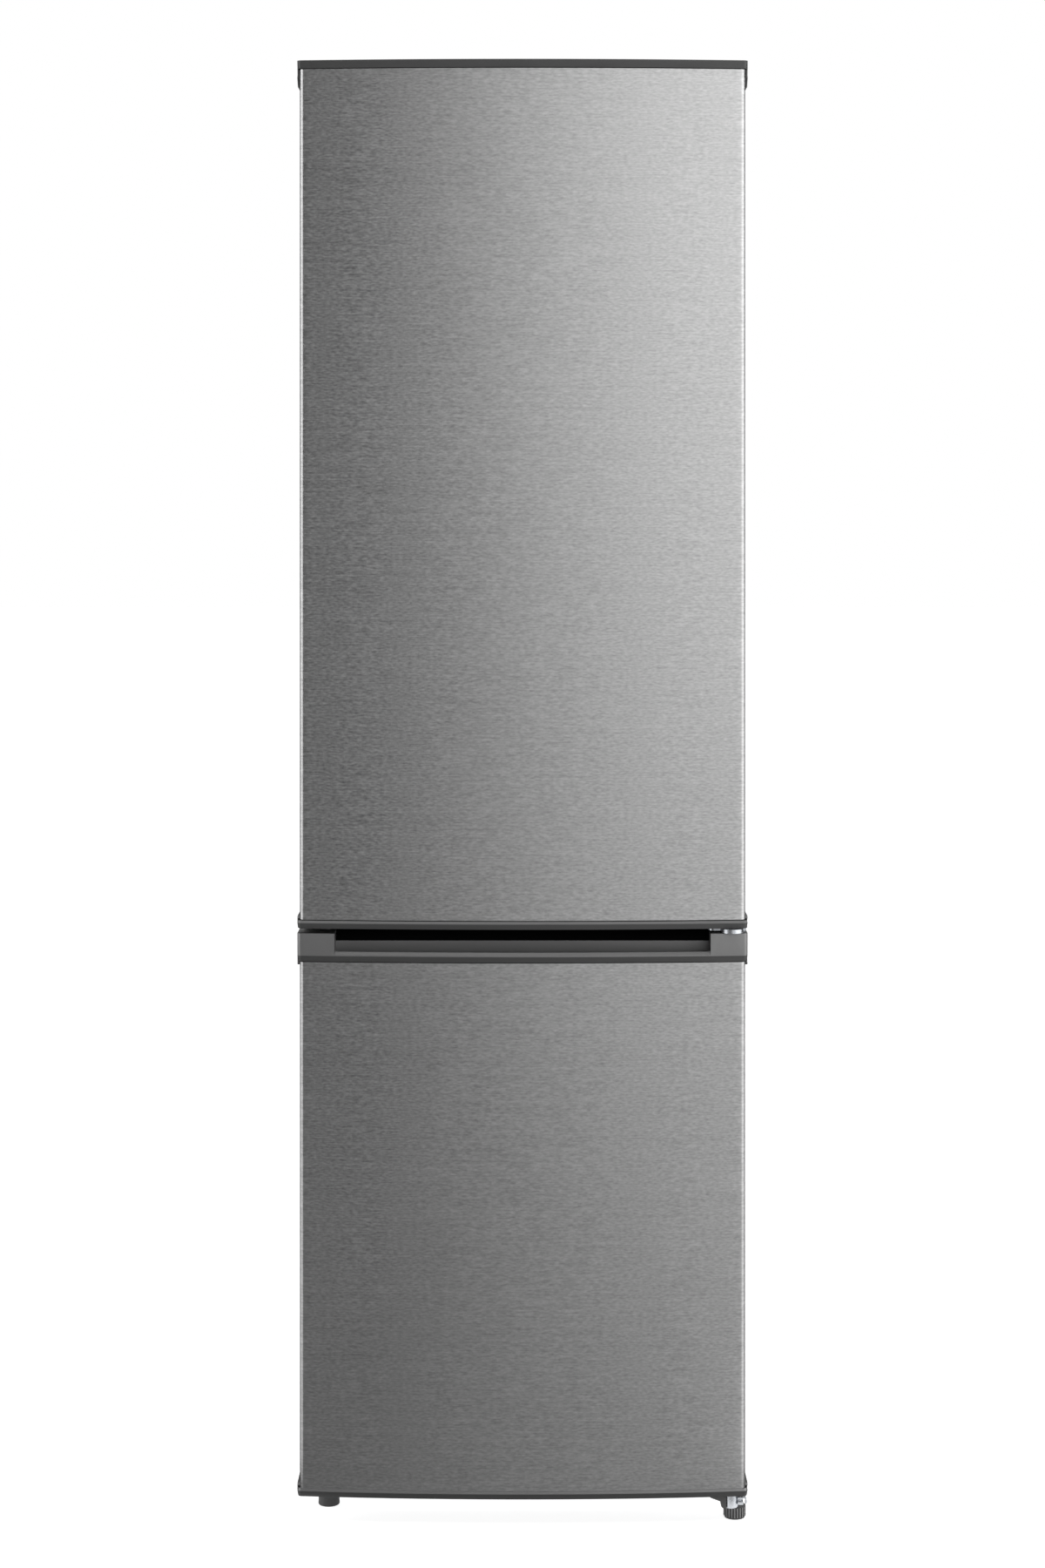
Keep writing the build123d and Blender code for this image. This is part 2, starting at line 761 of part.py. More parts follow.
def fridge_liner():
    """Formed plastic lining of the fridge compartment."""
    high = cabinet_top - front_return
    low = mullion_middle + mullion_strip_height / 2
    liner = fridge_cavity(liner_sheet) & block((-cabinet_half, cabinet_half),
                                               (cabinet_front, cabinet_back), (0, overall_height))
    liner += liner_flange(low, high)
    liner -= fridge_cavity(0)
    for ledge in shelf_ledges():
        liner += ledge
    level = fridge_floor + gutter_rise
    gutter = outline([(fridge_back, level), (fridge_back - 14, level + 8),
                      (fridge_back - 14, level + 18), (fridge_back - 10, level + 18),
                      (fridge_back - 10, level + 12), (fridge_back, level + 4)])
    liner += across(gutter, fridge_corner - fridge_half_width, fridge_half_width - fridge_corner)
    drain = Pos(0, fridge_back, level + 12) * Rot(90, 0, 0) * Cylinder(drain_bore, 16)
    return liner - drain


def grid_ledges():
    """Moulded ledges down both sides of the freezer liner that carry the cooling shelves."""
    front = cabinet_front + grid_front - 10
    ledges = []
    for level in grid_levels:
        for side in (-1, 1):
            ends = sorted((side * freezer_half_width,
                           side * (freezer_half_width - grid_ledge_reach)))
            ledges.append(block(ends, (front, freezer_back - fridge_corner),
                                (level - ledge_thickness, level)))
    return ledges


def freezer_liner():
    """Formed plastic lining of the freezer compartment."""
    low = cabinet_floor + front_return
    high = mullion_middle - mullion_strip_height / 2
    liner = freezer_cavity(liner_sheet) & block((-cabinet_half, cabinet_half),
                                                (cabinet_front, cabinet_back), (0, overall_height))
    liner += liner_flange(low, high)
    liner -= freezer_cavity(0)
    for ledge in grid_ledges():
        liner += ledge
    return liner


def insulation_foam():
    """Insulation between the steel wrapper and the two liners."""
    inner = cabinet_half - cabinet_sheet
    section = outline(offset_run(niche_run(), cabinet_sheet)[:-1]
                      + [(cabinet_back - cabinet_sheet, niche_roof + cabinet_sheet),
                         (cabinet_back - cabinet_sheet, cabinet_top - cabinet_sheet),
                         (cabinet_front + cabinet_sheet, cabinet_top - cabinet_sheet)])
    foam = across(section, -inner, inner)
    top_edges = foam.edges().filter_by(Axis.Y).group_by(Axis.Z)[-1]
    foam = fillet(top_edges, cabinet_corner - cabinet_sheet)
    foam -= fridge_cavity(liner_sheet)
    foam -= freezer_cavity(liner_sheet)
    recess = block((cabinet_front * 2, -cabinet_front * 2),
                   (cabinet_front, cabinet_front + liner_sheet), (0, overall_height))
    edge = cabinet_half - front_return
    foam -= recess & block((-edge, edge), (cabinet_front, cabinet_back),
                           (cabinet_floor + front_return, cabinet_top - front_return))
    foam -= fridge_evaporator_space()
    level = fridge_floor + gutter_rise + 12
    return foam - drain_tube_shape(drain_bore + tray_wall, level)


def fridge_evaporator_space():
    """Slot behind the fridge liner in which the plate evaporator is foamed."""
    low = fridge_ceiling - plate_evaporator_drop - plate_evaporator_height
    depth = plate_evaporator_sheet + 2 * plate_tube_radius
    start = fridge_back + liner_sheet
    return block((-plate_evaporator_width / 2, plate_evaporator_width / 2), (start, start + depth),
                 (low, low + plate_evaporator_height))


def front_base_rail():
    """Steel channel under the front edge, with the left foot's threaded hole."""
    low = low_arm_height
    section = bent_sheet([(cabinet_front + 45, low), (cabinet_front, low),
                          (cabinet_front, cabinet_floor), (cabinet_front + 45, cabinet_floor)], -2)
    rail = across(section, 4 - cabinet_half, cabinet_half - 4)
    return rail - upright(left_foot_x, left_foot_y, 0, cabinet_floor - 2 - EPS,
                          foot_stud_radius + pin_clearance)


# Hinges

def hinge_flange(low, high, thickness):
    """Upright flange of a front hinge, against the cabinet and clear of the door's corner."""
    right = hinge_x - hinge_flange_right
    shape = Pos(right - hinge_flange_width / 2, (low + high) / 2) * rounded(
        hinge_flange_width, high - low, 3)
    return along(shape, cabinet_front - thickness, cabinet_front)


def flange_screw_places():
    """Where the flange's two screws stand across the cabinet."""
    right = hinge_x - hinge_flange_right
    return (right - hinge_flange_width / 2, right - hinge_flange_width + 8)


def middle_hinge_bracket():
    """Plate in the door gap with an upright flange on the mullion."""
    low = mullion_plate_low()
    front = hinge_y - middle_collar_radius - EPS
    left = hinge_x - middle_plate_left
    right = hinge_x + middle_plate_right
    face = outline([(left, cabinet_front), (left, front), (right, front),
                    (right, hinge_y + 6), (hinge_x - hinge_flange_right, cabinet_front)])
    corners = face.vertices().group_by(Axis.Y)[0]
    plate = prism(fillet(corners, 7), low, low + hinge_plate)
    curl = Pos(right - 1, hinge_y - 2, low + hinge_plate / 2) * Rot(90, 0, 0) * Cylinder(3.0, 13)
    plate = plate + curl & block((left, cap_half), (front, cabinet_front), (low - 2, low + 4.2))
    plate += hinge_flange(mullion_middle - hinge_flange_height / 2,
                          mullion_middle + hinge_flange_height / 2, hinge_plate)
    plate -= upright(hinge_x, hinge_y, 0, overall_height, pin_radius)
    for place in flange_screw_places():
        plate -= screw_hole(place, mullion_middle)
    return plate


def screw_hole(x, z):
    """Hole through a hinge flange."""
    return Pos(x, cabinet_front, z) * Rot(90, 0, 0) * Cylinder(screw_radius, 4 * hinge_plate)


def bottom_hinge_bracket():
    """Lower hinge: an arm under the door that carries the pin and the right foot."""
    low = low_arm_height
    front = hinge_y - sleeve_radius - 4
    left = hinge_x - low_arm_left
    right = hinge_x + low_arm_right
    face = outline([(left, cabinet_front), (left, front + 12), (left + 12, front),
                    (right, front), (right, cabinet_front)])
    arm = prism(face, low, low + hinge_plate)
    side = outline([(front + 3, low), (front + 3, low - 6), (front + 9, low - 7.5),
                    (cabinet_front - 4, low - 4), (cabinet_front - 4, low)])
    arm += across(side, right - hinge_plate, right)
    hook = Pos(right + 1.5, front + 5, low - 3.75) * Cylinder(3.2, 7.5)
    arm += hook - Pos(right + 1.5, front + 5, low - 3.75) * Cylinder(1.6, 10)
    arm += hinge_flange(low, cabinet_floor, hinge_plate)
    arm -= upright(hinge_x, hinge_y, 0, cabinet_floor, sleeve_radius)
    arm -= upright(right_foot_x, right_foot_y, 0, cabinet_floor, foot_stud_radius + pin_clearance)
    for place in flange_screw_places():
        arm -= screw_hole(place, (low + hinge_plate + cabinet_floor) / 2)
    return arm


def bottom_hinge_stop():
    """Dark plastic stop on the arm's left edge, beside the lower pin."""
    low = low_arm_height
    left = hinge_x - low_arm_left
    shape = outline([(left, low), (left + 11, low - 9), (left + 15, low - 9), (left + 15, low)])
    return along(shape, hinge_y - 6, hinge_y + 6)


def top_plate_outline(grow):
    """Plan of the top hinge's plate: a foot on the cabinet and an arm to the pin."""
    reach = top_arm_half_width + grow
    rear = cabinet_front + top_plate_length + grow
    foot_left = hinge_x + reach - top_plate_width - grow
    foot = outline([(foot_left, cabinet_front + 4 - grow), (hinge_x + reach, cabinet_front + 4 - grow),
                    (hinge_x + reach, rear), (foot_left, rear)])
    arm = Pos(hinge_x, (hinge_y + rear) / 2) * Rectangle(2 * reach, rear - hinge_y)
    return foot + arm + Pos(hinge_x, hinge_y) * Circle(reach)


def top_screw_places():
    """The three screws through the top hinge's foot."""
    rear = cabinet_front + top_plate_length
    left = hinge_x + top_arm_half_width - top_plate_width
    return ((hinge_x, cabinet_front + 18), (hinge_x, rear - 12), (left + 12, rear - 12))


def top_hinge_bracket():
    """Plate on the cabinet's top that reaches forward over the door."""
    plate = prism(top_plate_outline(0), cabinet_top, cabinet_top + hinge_plate)
    plate -= upright(hinge_x, hinge_y, 0, overall_height, pin_radius)
    for x, y in top_screw_places():
        plate -= upright(x, y, cabinet_top, overall_height, screw_radius)
    return plate


def top_hinge_cover():
    """Plastic cover clipped over the top hinge."""
    high = cabinet_top + hinge_cover_top
    shell = prism(top_plate_outline(hinge_cover_side), cabinet_top, high)
    shell = chamfer(shell.faces().sort_by(Axis.Z)[-1].edges(), 1.2)
    return shell - prism(top_plate_outline(0), cabinet_top - EPS, high - hinge_cover_wall)


def hinge_pins():
    """Top pin, the middle pin with its collar and washer, and the bottom pin in its sleeve."""
    top_low = top_cap_low - cap_plug_depth + bush_end + slide_air
    top = upright(hinge_x, hinge_y, top_low, cabinet_top + hinge_plate, pin_radius)
    plate_low = mullion_plate_low()
    plate_high = plate_low + hinge_plate
    collar_low = plate_low - middle_collar_height
    middle = upright(hinge_x, hinge_y, handle_cap_low + 10, fridge_door_low + 14, pin_radius)
    middle += upright(hinge_x, hinge_y, collar_low, plate_low, middle_collar_radius)
    middle += upright(hinge_x, hinge_y, plate_high, plate_high + middle_washer, washer_radius)
    collar_high = freezer_door_low - slide_air
    bottom = upright(hinge_x, hinge_y, sleeve_bottom, collar_high, sleeve_radius)
    bottom = chamfer(bottom.edges().group_by(Axis.Z)[0], 1)
    bottom += upright(hinge_x, hinge_y, collar_high, freezer_door_low + 14, pin_radius)
    return [top, middle, bottom]


def hinge_screws():
    """Round-headed screws of the three hinges."""
    screws = []
    level = (low_arm_height + hinge_plate + cabinet_floor) / 2
    for z, length in ((mullion_middle, screw_length), (level, 4.5)):
        for x in flange_screw_places():
            face = cabinet_front - hinge_plate
            shank = Pos(x, face + length / 2, z) * Rot(90, 0, 0) * Cylinder(screw_radius, length)
            head = Pos(x, face - screw_head_height / 2, z) * Rot(90, 0, 0) * Cylinder(
                screw_head_radius, screw_head_height)
            screws.append(shank + head)
    for x, y in top_screw_places():
        face = cabinet_top + hinge_plate
        shank = upright(x, y, face - screw_length, face, screw_radius)
        screws.append(shank + upright(x, y, face, face + screw_head_height, screw_head_radius))
    return screws


def screw_seats():
    """The round holes that the screws of the top and middle hinges fill in the cabinet."""
    seats = []
    for x in flange_screw_places():
        depth = screw_length - hinge_plate
        seats.append(Pos(x, cabinet_front + depth / 2, mullion_middle) * Rot(90, 0, 0)
                     * Cylinder(screw_radius, depth))
    for x, y in top_screw_places():
        seats.append(upright(x, y, cabinet_top + hinge_plate - screw_length, cabinet_top,
                             screw_radius))
    return seats


def rail_screw_seats():
    """The holes of the lower hinge's screws in the base rail."""
    level = (low_arm_height + hinge_plate + cabinet_floor) / 2
    return [screw_hole(x, level) for x in flange_screw_places()]


# Feet and rollers

def foot_stud(x, y, low, high):
    """Threaded stud of a levelling foot."""
    return chamfer(upright(x, y, low, high, foot_stud_radius).edges().group_by(Axis.Z)[-1], 0.8)


def right_foot_knob():
    """Ribbed plastic foot that is turned by hand."""
    plan = Circle(foot_knob_radius)
    step = 2 * pi / foot_ribs
    groove = foot_knob_radius * sin(step / 4)
    for index in range(foot_ribs):
        angle = index * step
        plan -= Pos(foot_knob_radius * cos(angle), foot_knob_radius * sin(angle)) * Rot(
            0, 0, index * 360 / foot_ribs + 45) * Rectangle(groove, groove)
    knob = prism(Pos(right_foot_x, right_foot_y) * plan, 2.5, foot_knob_height)
    base = upright(right_foot_x, right_foot_y, 0, 2.5, foot_knob_radius - foot_rib_depth)
    knob += chamfer(base.edges().group_by(Axis.Z)[0], 1)
    return knob - upright(right_foot_x, right_foot_y, 4, foot_knob_height + EPS,
                          foot_stud_radius + pin_clearance)


def left_foot_pad():
    """Plain tapered plastic foot."""
    pad = Pos(left_foot_x, left_foot_y, left_pad_height / 2) * Cone(
        left_pad_radius, left_pad_top_radius, left_pad_height)
    pad = chamfer(pad.edges().group_by(Axis.Z)[0], 1)
    return pad - upright(left_foot_x, left_foot_y, 4, left_pad_height + EPS,
                         foot_stud_radius + pin_clearance)


def roller(side):
    """Nylon wheel under a rear corner."""
    wheel = Pos(side * roller_x, roller_y, roller_radius) * Rot(0, 90, 0) * Cylinder(
        roller_radius, roller_width)
    wheel = chamfer(wheel.edges(), 1)
    bore = Pos(side * roller_x, roller_y, roller_radius) * Rot(0, 90, 0) * Cylinder(
        axle_radius + pin_clearance, roller_width + EPS)
    return wheel - bore


def roller_axles():
    """The two axles, each riveted between ears that hang from the compressor rail."""
    pieces = []
    for side in (-1, 1):
        axle = Pos(side * roller_x, roller_y, roller_radius) * Rot(0, 90, 0) * Cylinder(
            axle_radius, roller_width + 2 * (roller_ear + roller_ear_air) + 2)
        ear_face = outline([(roller_y - 12, rail_height), (roller_y - 7, roller_radius - 6),
                            (roller_y + 7, roller_radius - 6), (roller_y + 12, rail_height)])
        for way in (-1, 1):
            start = side * roller_x + way * (roller_width / 2 + roller_ear_air)
            ends = sorted((start, start + way * roller_ear))
            axle += across(ear_face, *ends)
        top = block((side * roller_x - 9, side * roller_x + 9), (roller_y - 12, roller_y + 12),
                    (rail_height - roller_ear, rail_height))
        pieces.append(axle + top)
    return pieces


# Fridge compartment fittings

def glass_shelves():
    """Three shelves and the crisper cover: four alike panes."""
    half = fridge_half_width - shelf_side_air
    front = cabinet_front + shelf_front + trim_wall + trim_fit
    back = fridge_back - shelf_rear_air - trim_wall - trim_fit
    return [block((-half, half), (front, back), (level, level + shelf_thickness))
            for level in shelf_levels]


def shelf_trims():
    """Channel trims on the front and rear edges of each pane."""
    half = fridge_half_width - ledge_reach - shelf_side_air
    front = cabinet_front + shelf_front
    back = fridge_back - shelf_rear_air
    trims = []
    for level in shelf_levels:
        low = level - trim_fit
        high = level + shelf_thickness + trim_fit
        nose = outline([(front, low - trim_wall - 2), (front, high + trim_wall),
                        (front + trim_depth, high + trim_wall), (front + trim_depth, high),
                        (front + trim_wall, high), (front + trim_wall, low),
                        (front + trim_depth, low), (front + trim_depth, low - trim_wall)])
        rear = outline([(back, low - trim_wall), (back, high + trim_wall + 9),
                        (back - trim_wall, high + trim_wall + 9), (back - trim_wall, high + trim_wall),
                        (back - trim_depth, high + trim_wall), (back - trim_depth, high),
                        (back - trim_wall, high), (back - trim_wall, low),
                        (back - trim_depth, low), (back - trim_depth, low - trim_wall)])
        trims += [across(nose, -half, half), across(rear, -half, half)]
    return trims


def crisper_drawer():
    """Wide vegetable drawer under the lowest pane."""
    low = fridge_floor + slide_air
    height = shelf_levels[0] - crisper_head_room - low
    return open_drawer(crisper_half_width, cabinet_front + crisper_front, crisper_length, low,
                       height)


def open_drawer(half, front, length, low, height):
    """A drawer open at the top: round corners, thin walls and a full-width grip lip."""
    start = front + drawer_lip
    back = front + length
    middle = (start + back) / 2
    body = prism(Pos(0, middle) * rounded(2 * half, back - start, drawer_corner), low, low + height)
    hollow = rounded(2 * (half - drawer_wall), back - start - 2 * drawer_wall,
                     drawer_corner - drawer_wall)
    body -= prism(Pos(0, middle) * hollow, low + drawer_wall, low + height + EPS)
    top = low + height
    grip = outline([(start + EPS, top), (front, top), (front, top - drawer_lip_height - 5),
                    (front + drawer_wall, top - drawer_lip_height - 5),
                    (front + drawer_wall, top - drawer_wall), (start + EPS, top - drawer_wall)])
    return body + across(grip, drawer_corner - half, half - drawer_corner)


def control_console():
    """Housing of the thermostat and lamp on the fridge ceiling."""
    front = cabinet_front + console_front
    low = fridge_ceiling - console_height
    section = outline([(front, low + 4), (front + 4, low), (front + console_length - 20, low),
                       (front + console_length, low + 16), (front + console_length, fridge_ceiling),
                       (front, fridge_ceiling)])
    body = across(section, -console_half_width, console_half_width)
    wall = console_wall
    body -= block((wall - console_half_width, console_half_width - wall),
                  (front + wall, front + console_length - 24), (low + wall, fridge_ceiling + EPS))
    body -= upright(knob_x, front + knob_setback, low - EPS, low + wall + EPS,
                    knob_stem_radius + pin_clearance)
    body -= lens_shape(0, wall + EPS)
    level = low + console_height / 2
    bore = Pos(switch_x, front, level) * Rot(90, 0, 0) * Cylinder(switch_radius + pin_clearance, 20)
    return body - bore


def lens_shape(shrink, height):
    """The lamp lens's opening, from under the console upward."""
    front = cabinet_front + console_front + console_length / 2 - lens_length / 2
    low = fridge_ceiling - console_height
    plan = Pos(lens_x, front + lens_length / 2) * rounded(2 * (lens_half_width - shrink),
                                                         lens_length - 2 * shrink, 8)
    return prism(plan, low - EPS, low + height)


def lamp_lens():
    """Clear cover under the lamp, with a rim that bears on the console."""
    low = fridge_ceiling - console_height
    front = cabinet_front + console_front + console_length / 2 - lens_length / 2
    plan = Pos(lens_x, front + lens_length / 2) * rounded(2 * lens_half_width + 6,
                                                         lens_length + 6, 10)
    rim = chamfer(prism(plan, low - lens_drop, low).faces().sort_by(Axis.Z)[0].edges(), 2)
    tongue = Pos(lens_x, front + lens_length / 2) * rounded(2 * lens_half_width, lens_length, 8)
    lens = rim + prism(tongue, low, low + console_wall)
    hollow = Pos(lens_x, front + lens_length / 2) * rounded(2 * lens_half_width - 6,
                                                           lens_length - 6, 6)
    return lens - prism(hollow, low - lens_drop + 2, low + console_wall + EPS)


def thermostat_knob():
    """Temperature dial under the console, with finger flats and a stem."""
    x = knob_x
    y = cabinet_front + console_front + knob_setback
    low = fridge_ceiling - console_height
    disc = upright(x, y, low - knob_height + 8, low - slide_air, knob_radius)
    grip = prism(Pos(x, y) * rounded(2 * knob_radius - 4, 9, 4), low - knob_height,
                 low - knob_height + 8)
    return disc + grip + upright(x, y, low - slide_air, low + 12, knob_stem_radius)


def light_switch_plunger():
    """Sprung door switch, held in by the rim of the closed fridge door."""
    front = door_back + dyke_depth + slide_air
    face = cabinet_front + console_front
    level = fridge_ceiling - console_height + console_height / 2
    stem = Pos(switch_x, (front + face + 8) / 2, level) * Rot(90, 0, 0) * Cylinder(
        switch_radius, face + 8 - front)
    stem = chamfer(stem.edges().group_by(Axis.Y)[0], 1)
    head = Pos(switch_x, face + 8, level) * Rot(90, 0, 0) * Cylinder(switch_radius + 2, 3)
    return stem + head


# Freezer fittings

def freezer_drawer(low, height, length):
    """One freezer drawer, which slides on the surface below it."""
    return open_drawer(drawer_half_width, cabinet_front + drawer_front, length, low, height)


def drawer_full_length():
    """Length of the drawers that run to the rear wall."""
    return freezer_back - drawer_rear_air - cabinet_front - drawer_front


def drawer_low(index):
    """Underside of the drawer that slides on one of the cooling shelves."""
    return grid_levels[index] + 2 * (shelf_tube_radius + shelf_wire_radius) - 0.3 + slide_air


def shelf_drawer(index):
    """The drawer between one cooling shelf and the next."""
    low = drawer_low(index)
    return freezer_drawer(low, grid_levels[index + 1] - drawer_head_room - low,
                          drawer_full_length())


def floor_drawer():
    """The short drawer on the compartment's floor, in front of the step."""
    low = freezer_floor + slide_air
    front = cabinet_front + drawer_front
    length = niche_front - niche_wall - lower_drawer_rear_air - front
    return freezer_drawer(low, grid_levels[0] - lower_drawer_head_room - low, length)


def evaporator_grid(level):
    """One cooling shelf: a tube in bends under a row of wires brazed to its end passes."""
    front = cabinet_front + grid_front
    back = freezer_back - drawer_rear_air
    tube_z = level + shelf_tube_radius
    tube = serpentine(grid_half_width, front, back, shelf_tube_passes, shelf_tube_radius)
    shelf = Pos(0, 0, tube_z) * tube
    reach = grid_half_width - grid_wire_margin
    spacing = 2 * reach / (shelf_wires - 1)
    wire_z = tube_z + shelf_tube_radius + shelf_wire_radius - 0.3
    wires = []
    for index in range(shelf_wires):
        x = index * spacing - reach
        wires.append(Pos(x, (front + back) / 2, wire_z) * Rot(90, 0, 0) * Cylinder(
            shelf_wire_radius, back - front + 6))
    return shelf + wires


def freezer_evaporator():
    """The three cooling shelves and the risers brazed to them behind the drawers."""
    back = freezer_back - drawer_rear_air
    x = grid_wire_margin - grid_half_width
    shelves = [evaporator_grid(level) for level in grid_levels]
    risers = []
    for lower, upper, low, high in zip(shelves, shelves[1:], grid_levels, grid_levels[1:]):
        start = low + shelf_tube_radius
        end = high + shelf_tube_radius
        rear = back + grid_riser_set_back
        riser = piped([(x, back, start), (x, rear, start), (x, rear, end), (x, back, end)],
                      grid_riser_bend, shelf_tube_radius)
        risers.append(riser - lower - upper)
    return shelves + risers


def fridge_evaporator():
    """Aluminium plate with a bonded tube, foamed in behind the fridge liner."""
    low = fridge_ceiling - plate_evaporator_drop - plate_evaporator_height
    start = fridge_back + liner_sheet
    half = plate_evaporator_width / 2
    plate = block((-half, half), (start, start + plate_evaporator_sheet),
                  (low, low + plate_evaporator_height))
    tube = serpentine(half - 12, low + 20, low + plate_evaporator_height - 20, plate_passes,
                      plate_tube_radius)
    upright_tube = Pos(0, start + plate_evaporator_sheet + plate_tube_radius - 0.2, 0) * Rot(
        90, 0, 0) * tube
    return plate + upright_tube


# Rear

def condenser_wire_place(index):
    """Where one of the condenser's wires stands across the back."""
    reach = condenser_half_width - 55
    return reach * (2 * index / (condenser_wires - 1) - 1)


def condenser():
    """Wire-on-tube condenser: one long tube in bends, gripped by wires on both faces."""
    y = cabinet_back + condenser_stand_off
    tube = serpentine(condenser_half_width, condenser_low, condenser_high, condenser_passes,
                      condenser_tube_radius)
    coil = Pos(0, y, 0) * Rot(90, 0, 0) * tube
    offset = condenser_tube_radius + condenser_wire_radius - 0.2
    wires = []
    for side in (-1, 1):
        for index in range(condenser_wires):
            x = condenser_wire_place(index)
            wires.append(upright(x, y + side * offset, condenser_low - 6, condenser_high + 6,
                                 condenser_wire_radius))
    return coil + wires


def condenser_spacers():
    """Plastic clips that hold the condenser off the back and the appliance off the wall."""
    clips = []
    y = cabinet_back + condenser_stand_off
    pitch = (condenser_high - condenser_low) / (condenser_passes - 1)
    between = (condenser_wire_place(0) + condenser_wire_place(1)) / 2
    for index in (1, condenser_passes - 2):
        z = condenser_low + index * pitch
        for x in (between, -between):
            clip = block((x - 7, x + 7), (cabinet_back, rear_y), (z - 9, z + 9))
            clip = fillet(clip.edges().filter_by(Axis.Y), 3)
            slot = Pos(x, y, z) * Rot(0, 90, 0) * Cylinder(condenser_tube_radius + 0.1, 20)
            clips.append(clip - slot)
    return clips


def compressor_rail():
    """Bent steel plate across the rear that carries the compressor and the rollers."""
    section = bent_sheet([(rail_front, rail_height + rail_lip), (rail_front, rail_height),
                          (rail_rear, rail_height), (rail_rear, rail_height + rail_lip)], rail_sheet)
    rail = across(section, -rail_half_width, rail_half_width)
    for side in (-1, 1):
        inner = cabinet_half - cabinet_sheet
        ends = sorted((side * rail_half_width, side * inner))
        rail += block(ends, (rail_front, rail_rear), (rail_height, rail_height + rail_sheet))
        wall = sorted((side * inner, side * (inner - 2)))
        rail += block(wall, (rail_front, rail_rear), (rail_height, cabinet_floor + 20))
    for x, y in grommet_places():
        rail -= upright(x, y, 0, rail_height + rail_lip, 3)
    return rail


def grommet_places():
    """The four feet of the compressor."""
    return [(compressor_x + sx * (compressor_radius + 8), compressor_y + sy * grommet_inset)
            for sx in (-1, 1) for sy in (-1, 1)]


def compressor_grommets():
    """Rubber grommets between the compressor's feet and the rail, on their bolts."""
    low = rail_height + rail_sheet
    grommets = []
    for x, y in grommet_places():
        rubber = upright(x, y, low, low + grommet_height, grommet_radius)
        groove = Pos(x, y, low + grommet_height / 2) * Torus(grommet_radius + 1, 2.5)
        grommets.append(rubber - groove)
    return grommets


def compressor():
    """Sealed compressor: a domed pot with a weld seam, stub pipes and two foot straps."""
    low = rail_height + rail_sheet + grommet_height
    base = low + 3
    r = compressor_radius
    high = base + compressor_height
    dome = 38
    seam = base + compressor_height * 0.45
    line = Polyline((0, base), (r - 20, base), (r - 6, base + 14), (r - 2, seam),
                    (r - 2 + compressor_seam, seam), (r - 2 + compressor_seam, seam + 3),
                    (r - 2, seam + 3), (r - 5, high - dome))
    shoulder = r - 5
    dome_radius = (shoulder ** 2 + dome ** 2) / (2 * dome)
    half_way = asin(shoulder / dome_radius) / 2
    crown = (dome_radius * sin(half_way), high - dome_radius * (1 - cos(half_way)))
    top = ThreePointArc((shoulder, high - dome), crown, (0, high))
    close = Line((0, high), (0, base))
    face = Plane.XZ * make_face(line.edges() + top.edges() + close.edges())
    pot = Pos(compressor_x, compressor_y, 0) * revolve(face, Axis.Z)
    for sy in (-1, 1):
        y = compressor_y + sy * grommet_inset
        strap = Pos(compressor_x, y) * rounded(2 * (compressor_radius + 8) + 24, 26, 10)
        pot += prism(strap, low, base)
    pot += block((compressor_x - 30, compressor_x + 30),
                 (compressor_y - grommet_inset, compressor_y + grommet_inset), (low, base + 4))
    return pot


def compressor_terminal_cover():
    """Cover of the relay and terminals, with the gland of the power cord."""
    side = compressor_x + compressor_radius
    shape = Pos(compressor_y, 120) * rounded(64, 56, 8)
    box = across(shape, side - 6, side + 26)
    gland = Pos(side + 12, compressor_y, 90) * Cylinder(6, 10)
    return box - compressor() + gland - Pos(side + 12, compressor_y, 88) * Cylinder(3.5, 12)


def tray_low():
    """Underside of the evaporation tray, just over the compressor's dome."""
    return rail_height + rail_sheet + grommet_height + 3 + compressor_height


def evaporation_tray():
    """Tray on the compressor that catches the defrost water."""
    low = tray_low()
    centre = Pos(compressor_x, compressor_y)
    tray = prism(centre * rounded(tray_length, tray_width, 16), low, low + tray_height)
    hollow = centre * rounded(tray_length - 2 * tray_wall, tray_width - 2 * tray_wall, 14)
    return tray - prism(hollow, low + tray_wall, low + tray_height + EPS)


def drain_tube_shape(radius, level):
    """Path of the defrost drain, from the fridge's rear wall down into the compressor space."""
    y = fridge_back + liner_sheet + 16
    down = upright(0, y, niche_roof - 20, level, radius)
    start = Pos(0, (fridge_back + liner_sheet + y) / 2, level) * Rot(90, 0, 0) * Cylinder(
        radius, y - fridge_back - liner_sheet)
    return down + start + Pos(0, y, level) * Sphere(radius)


def drain_tube():
    """Defrost drain from the fridge's gutter into the compressor space."""
    level = fridge_floor + gutter_rise + 12
    return drain_tube_shape(drain_bore + tray_wall, level) - drain_tube_shape(drain_bore, level)


def filter_drier():
    """Copper drier upright beside the compressor, spun down to the pipe at both ends."""
    x = compressor_x + compressor_radius + 70
    low = drier_low
    high = low + drier_length
    line = Polyline((0, low), (pipe_radius, low), (drier_radius, low + 12),
                    (drier_radius, high - 12), (pipe_radius, high), (0, high), close=True)
    return Pos(x, compressor_y + 20, 0) * revolve(Plane.XZ * make_face(line), Axis.Z)


